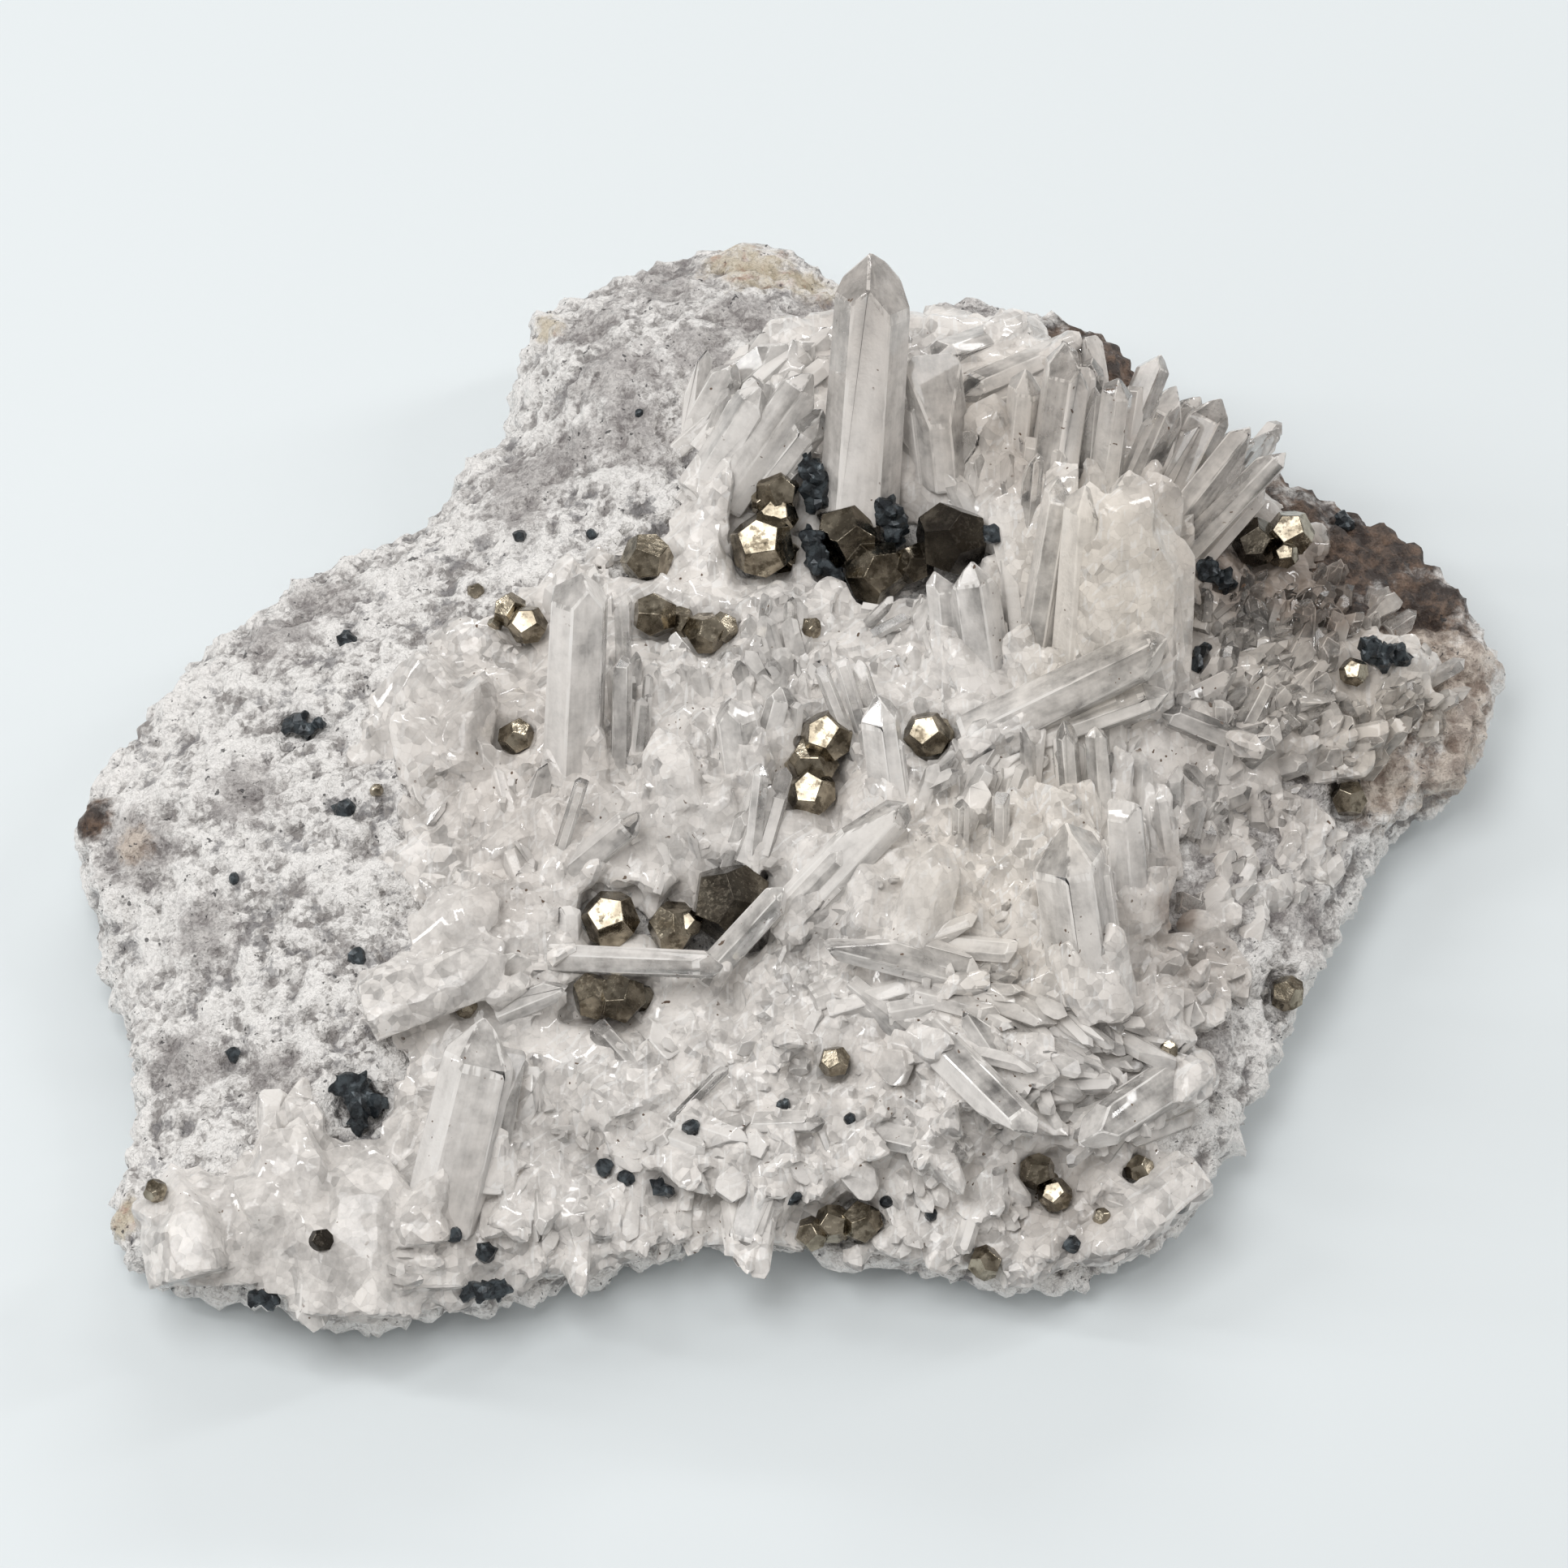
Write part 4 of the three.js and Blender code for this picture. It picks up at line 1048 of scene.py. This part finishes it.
def crystal_master(name, main_face, seed, bevel):
    """A prism of six unequal sides with a point of six unequal faces, the largest one lowest.
    Some of its faces have frost, and where bevel isn't 0 its edge lines are rounded off as by wear, and the
    quartz material paints highlights on them."""
    chance = random.Random(seed)
    master = started(bpy.ops.mesh.primitive_cylinder_add, name, vertices=6, radius=1 / math.sqrt(3),
                     depth=2.4, location=(0, 0, 0.2))
    outward = math.sin(FACE_LEAN)
    upright = math.cos(FACE_LEAN)

    def cut_all():
        apexes = [chance.uniform(0.55, 0.95) for _ in range(6)]
        apexes[0] = chance.uniform(*main_face)
        for i, apex in enumerate(apexes):
            turn = math.radians(60 * i)
            out = Vector((math.cos(turn), math.sin(turn), 0))
            cut(chance.uniform(0.36, 0.52) * out, out)
            cut((0, 0, apex), (outward * math.cos(turn), outward * math.sin(turn), upright))

    edit(master, cut_all)
    settle(master)
    plain_faces = [face.normal.copy() for face in master.data.polygons]
    if bevel:
        edit(master, lambda: bpy.ops.mesh.bevel(offset=bevel, segments=1, affect="EDGES"))
    for kept in ("edge", "frost"):
        mark(master.data, kept, np.zeros(len(master.data.vertices)))
    frosts = [chance.random() ** 2 for _ in plain_faces]
    for face in master.data.polygons:
        nearest = max(range(len(plain_faces)), key=lambda i: face.normal.dot(plain_faces[i]))
        # Bevel faces are marked as edge, and the quartz material paints highlights on them
        on_bevel = face.normal.dot(plain_faces[nearest]) < 0.999
        for corner in face.loop_indices:
            master.data.attributes["edge"].data[corner].value = on_bevel
            master.data.attributes["frost"].data[corner].value = frosts[nearest]
    finish_with(master, "TRIANGULATE")
    shade_flat(master)
    return master


def crystal_masters(name, count, main_face, first_seed, bevel):
    return [crystal_master(f"{name}_{i}", main_face, first_seed + i, bevel) for i in range(count)]


def any_way(chance):
    """A way of any direction, 1.6 long on average."""
    return Vector((chance.gauss(0, 1), chance.gauss(0, 1), chance.gauss(0, 1)))


def crystal(master, foot, tip, width, root, chance, milk):
    """A copy of the master from foot to tip."""
    piece = own_copy(master)
    points = points_of(piece.data)
    axis = tip - foot
    cap = points[:, 2].max()
    size = min(width, POINT_SHARE * axis.length / cap)
    shoulder = axis.length - cap * size
    narrow = 1 - TAPER * np.clip(points[:, 2] + 1, 0, 1)
    below = points[:, 2] < 0
    along = np.where(below, (points[:, 2] + 1) * (shoulder + root) - root, shoulder + points[:, 2] * size)
    flat = 0.8 + 0.35 * chance.random()
    points[:, 0] *= width * narrow * flat
    points[:, 1] *= width * narrow
    points[:, 2] = along
    move_points(piece.data, points)
    turn = Vector((0, 0, 1)).rotation_difference(axis)
    spin = Quaternion((0, 0, 1), chance.random() * math.tau)
    piece.data.transform(Matrix.Translation(foot) @ (turn @ spin).to_matrix().to_4x4())
    share = np.clip(along / axis.length, 0, 1)
    mark(piece.data, "milk", milk * (1.05 - 0.25 * share))
    mark(piece.data, "tint", np.full(len(points), chance.random() ** 0.4))
    mark_places(piece.data, "own_place", points + chance.random())
    return piece


def companions(masters, foot, tip, width, chance, milk):
    """Thinner and shorter crystals that have grown along the sides of one."""
    made = []
    for _ in range(chance.choice((1, 2, 2))):
        side = (tip - foot).cross(any_way(chance)).normalized()
        start = foot + 0.3 * width * side
        along = (tip - foot) * chance.uniform(0.35, 0.75)
        end = start + along + along.length * 0.02 * side
        master = chance.choice(masters)
        thin = width * chance.uniform(0.35, 0.55)
        made.append(crystal(master, start, end, thin, ROOT, chance, milk + 0.1))
    return made


def collar(masters, foot, tip, width, chance, kept_free):
    """Short milky crystals about the foot of one, which bed it in the crust."""
    made = []
    axis = (tip - foot).normalized()
    for _ in range(COLLAR_COUNT):
        lean = any_way(chance)
        start = foot + chance.uniform(0.3, 0.6) * width * axis.cross(lean).normalized() - 0.3 * width * axis
        end = start + (axis + 0.25 * lean) * (chance.uniform(0.5, 0.9) * width + 0.6 * MM)
        if not covers(start, end, 0.35 * width, kept_free):
            master = chance.choice(masters)
            thin = width * chance.uniform(0.5, 0.8)
            made.append(crystal(master, start, end, thin, COLLAR_ROOT, chance, 1))
    return made


def masses(ground):
    """The milky crystals that have melted into the crust."""
    masters = crystal_masters("mass", 4, (0.3, 0.6), 30, 0)
    chance = random.Random(43)
    made = []
    for foot_px, tip_px, rise, width in MASSES:
        foot = on_ground(ground, foot_px)
        tip = at_height(tip_px, foot.z + rise * MM)
        made.append(crystal(chance.choice(masters), foot, tip, width * MM, ROOT, chance, 1))
    discard(masters)
    return made


def named_crystals(ground):
    """The crystals that stand out, and the milky ones about their feet."""
    masters = crystal_masters("point", 6, (0.3, 0.6), 20, EDGE_BEVEL)
    chance = random.Random(41)
    kept_free = dark_pixels()
    collars = []
    made = []
    for foot_px, tip_px, rise, width in CRYSTALS:
        foot = on_ground(ground, foot_px)
        tip = at_height(tip_px, foot.z + rise * MM)
        milk = 0.28 + 0.3 * min(1, width / 7) + 0.1 * chance.random()
        made.append(crystal(chance.choice(masters), foot, tip, width * MM, ROOT, chance, milk))
        collars.extend(collar(masters, foot, tip, width * MM, chance, kept_free))
        if width > COMPANION_WIDTH and rise < TALL_RISE:
            made.extend(companions(masters, foot, tip, width * MM, chance, milk))
    discard(masters)
    return collars, made


def dark_pixels():
    """Where the pyrite and the sphalerite show in the picture."""
    places = []
    for name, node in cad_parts.items():
        if name.startswith(("pyrite", "sphalerite")):
            places.extend(vertex.co.copy() for vertex in node.data.vertices)
    small = [spot[0] for spot in SMALL_PYRITE + SMALL_SPHALERITE]
    return np.concatenate((to_pixels(places), np.array(small)))


def covers(foot, tip, reach, pixels):
    """Whether a crystal would hide any of the pixels."""
    start, end = to_pixels([foot, tip])
    along = np.clip((pixels - start) @ (end - start) / max(1, (end - start) @ (end - start)), 0, 1)
    away = np.linalg.norm(pixels - start - along[:, None] * (end - start), axis=1)
    return away.min() < reach / METRES_PER_PX


def leaves_box(tip, width):
    """Whether a crystal's point would reach out of the solids' box."""
    low, high = cad_box
    return any(tip[i] - 0.35 * width < low[i] or tip[i] + 0.35 * width > high[i] for i in range(3))


def small_crystals(ground):
    """Smaller crystals that stand close together, field by field: the milky ones, and those that
    stay sharp."""
    masters = crystal_masters("small_point", 8, (0.05, 0.5), 60, EDGE_BEVEL)
    plain_masters = crystal_masters("plain_point", 8, (0.05, 0.5), 80, 0)
    chance = random.Random(42)
    kept_free = dark_pixels()
    milky = []
    sharp = []
    for middle, reach, count, widths, lengths, heading, rise, spread, milk in FIELDS:
        for _ in range(count):
            turn = chance.random() * math.tau
            far = math.sqrt(chance.random())
            across = middle[0] + reach[0] * far * math.cos(turn)
            down = middle[1] + reach[1] * far * math.sin(turn)
            place = on_ground(ground, (across, down))
            way = math.radians(chance.gauss(heading, spread))
            up = math.radians(chance.gauss(rise, 0.6 * spread))
            axis = Vector((math.cos(up) * math.cos(way), math.cos(up) * math.sin(way), math.sin(up)))
            width = chance.uniform(*widths) * MM
            length = width * chance.uniform(*lengths)
            foot = place - Vector((0, 0, (0.15 + 0.5 * max(0, axis.z)) * width))
            tip = foot + length * axis
            milkiness = milk * chance.uniform(0.6, 0.95)
            if covers(foot, tip, 0.35 * width, kept_free) or leaves_box(tip, width):
                continue
            master = chance.choice(masters if width > WORN_EDGE_WIDTH else plain_masters)
            piece = crystal(master, foot, tip, width, 0.5 * width, chance, milkiness)
            stays_sharp = milk < MASS_MILK or (width < STOUT_WIDTH and chance.random() < SHARP_SHARE)
            (sharp if stays_sharp else milky).append(piece)
    discard(masters + plain_masters)
    return milky, sharp


# Pyrite


def pyrite_group(node):
    piece = merged_copy(node, f"{node}_crystals")
    edit(
        piece,
        lambda: bpy.ops.mesh.dissolve_limited(angle_limit=math.radians(3)),
        lambda: bpy.ops.mesh.bevel(offset=0.07 * MM, segments=2, affect="EDGES"),
    )
    shade_flat(piece)
    mark_areas(piece.data, "dark", DARK_PYRITE)
    return piece


def pyrite_master():
    """A pyritohedron cut from a cube."""
    master = started(bpy.ops.mesh.primitive_cube_add, "pyritohedron", size=PYRITE_CUBE)

    def cut_all():
        for a in (-1, 1):
            for b in (-1, 1):
                for facing in ((2 * a, b, 0), (0, 2 * a, b), (b, 0, 2 * a)):
                    cut(PYRITE_CUBE / 5 * Vector(facing), facing)

    edit(master, cut_all)
    edit(master, lambda: bpy.ops.mesh.bevel(offset=0.04, segments=1, affect="EDGES"))
    shade_flat(master)
    return master


def small_pyrite(ground):
    master = pyrite_master()
    chance = random.Random(12)
    first_face = Vector((2, 1, 0)).normalized()
    made = []
    for pixel, width, lift, spin in SMALL_PYRITE:
        place = on_ground(ground, pixel, lift * MM)
        piece = own_copy(master)
        away = any_way(chance).normalized()
        faces = away if spin is None else glint
        turn = first_face.rotation_difference(faces)
        round_it = Quaternion(faces, math.radians(chance.random() * 360 if spin is None else spin))
        size = width * MM / 2 / PYRITE_FACE
        piece.data.transform(Matrix.Translation(place) @ (round_it @ turn).to_matrix().to_4x4()
                             @ Matrix.Scale(size, 4))
        made.append(piece)
    discard([master])
    piece = join(made, "small_pyrite_crystals")
    mark_areas(piece.data, "dark", DARK_PYRITE)
    return piece


# Sphalerite


def lump_relief(point):
    return LUMP_DEPTH * (LUMP_LEVEL - noise.voronoi(point / LUMP_SIZE)[0][0])


def sphalerite_group(node):
    """A lump turned into a cluster of small flat faces."""
    piece = merged_copy(node, f"{node}_lumps")
    finish_with(piece, "REMESH", mode="VOXEL", voxel_size=LUMP_CELL)
    push_out(piece.data, lump_relief)
    finish_with(piece, "DECIMATE", ratio=LUMP_SHARE)
    shade_flat(piece)
    return piece


def small_sphalerite(ground):
    chance = random.Random(13)
    made = []
    for pixel, width in SMALL_SPHALERITE:
        place = on_ground(ground, pixel, 0.12 * width * MM)
        piece = started(bpy.ops.mesh.primitive_ico_sphere_add, "bead", subdivisions=2,
                        radius=0.55 * width * MM, location=place)
        settle(piece)
        points = points_of(piece.data)
        middle = np.array(place)
        reach = [1 + 0.5 * noise.noise(Vector(p) / (0.9 * MM)) + 0.1 * chance.random() for p in points]
        move_points(piece.data, middle + (points - middle) * np.array(reach)[:, None])
        shade_flat(piece)
        made.append(piece)
    return join(made, "small_sphalerite_beads")


# Camera, light and floor


def camera():
    data = bpy.data.cameras.new("camera")
    view = bpy.data.objects.new("camera", data)
    bpy.context.scene.collection.objects.link(view)
    view.location = eye
    view.rotation_euler = (math.pi / 2 - SIGHT_ELEVATION, 0, 0)
    data.sensor_width = SENSOR_MM
    data.lens = SENSOR_MM * SIGHT_DISTANCE / (PICTURE_SIDE * METRES_PER_PX)
    data.clip_start = 0.01
    bpy.context.scene.camera = view


def soft_box(name, way, distance, size, power):
    """An area light of that width and height, turned to the specimen."""
    data = bpy.data.lights.new(name, "AREA")
    data.shape = "RECTANGLE"
    data.size, data.size_y = size
    data.energy = power
    lamp = bpy.data.objects.new(name, data)
    bpy.context.scene.collection.objects.link(lamp)
    lamp.location = way.normalized() * distance
    lamp.rotation_euler = way.to_track_quat("Z", "Y").to_euler()


def surroundings():
    world = bpy.data.worlds.new("studio")
    bpy.context.scene.world = world
    world.use_nodes = True
    background = world.node_tree.nodes["Background"]
    background.inputs["Color"].default_value = SKY_COLOUR
    background.inputs["Strength"].default_value = SKY_STRENGTH
    for settings in SOFT_BOXES:
        soft_box(*settings)
    bpy.context.scene.view_settings.view_transform = "Standard"
    bpy.context.scene.cycles.diffuse_bounces = 4
    bpy.context.scene.cycles.transmission_bounces = 8


def floor():
    piece = started(bpy.ops.mesh.primitive_plane_add, "floor", size=6, location=(0, 0, 0))
    look = Look("floor")
    tone = look.noise(0.3, 2)
    colour = look.blend(tone, (0.78, 0.83, 0.85), (0.8, 0.85, 0.87))
    piece.data.materials.append(look.finish(look.shader(Base_Color=colour, Roughness=0.9)))


def seat(piece, material, slot, *nodes):
    """Gives a piece its material, and seats it in the frame in place of solids."""
    piece.data.materials.clear()
    piece.data.materials.append(material)
    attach(piece, "root")
    if nodes:
        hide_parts(*nodes)


camera()
surroundings()
floor()

rock = rock_plate()
crust = crust_bed()
ground = ground_of(rock, crust)
seat(rock, rock_look(), "rock", "rock_plate")
milky, sharp = small_crystals(ground)
collars, standing = named_crystals(ground)
crust = grown_crust(crust, masses(ground) + milky + collars)
druse = grown_together(crust, standing + sharp, "quartz_druse_crystals")
mark_soft_normals(druse.data, "soft_normal")
for name, areas in {"smoke": SMOKE, "cream": CREAM, "calm": CALM}.items():
    mark_areas(druse.data, name, areas)
seat(druse, quartz_look(), "quartz", "quartz_druse")

pyrite = pyrite_look()
sphalerite = sphalerite_look()
for node in sorted(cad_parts):
    if node.startswith("pyrite"):
        seat(pyrite_group(node), pyrite, "pyrite", node)
    if node.startswith("sphalerite"):
        seat(sphalerite_group(node), sphalerite, "sphalerite", node)
showing = ground_of(rock, druse)
seat(small_pyrite(showing), pyrite, "pyrite")
seat(small_sphalerite(showing), sphalerite, "sphalerite")
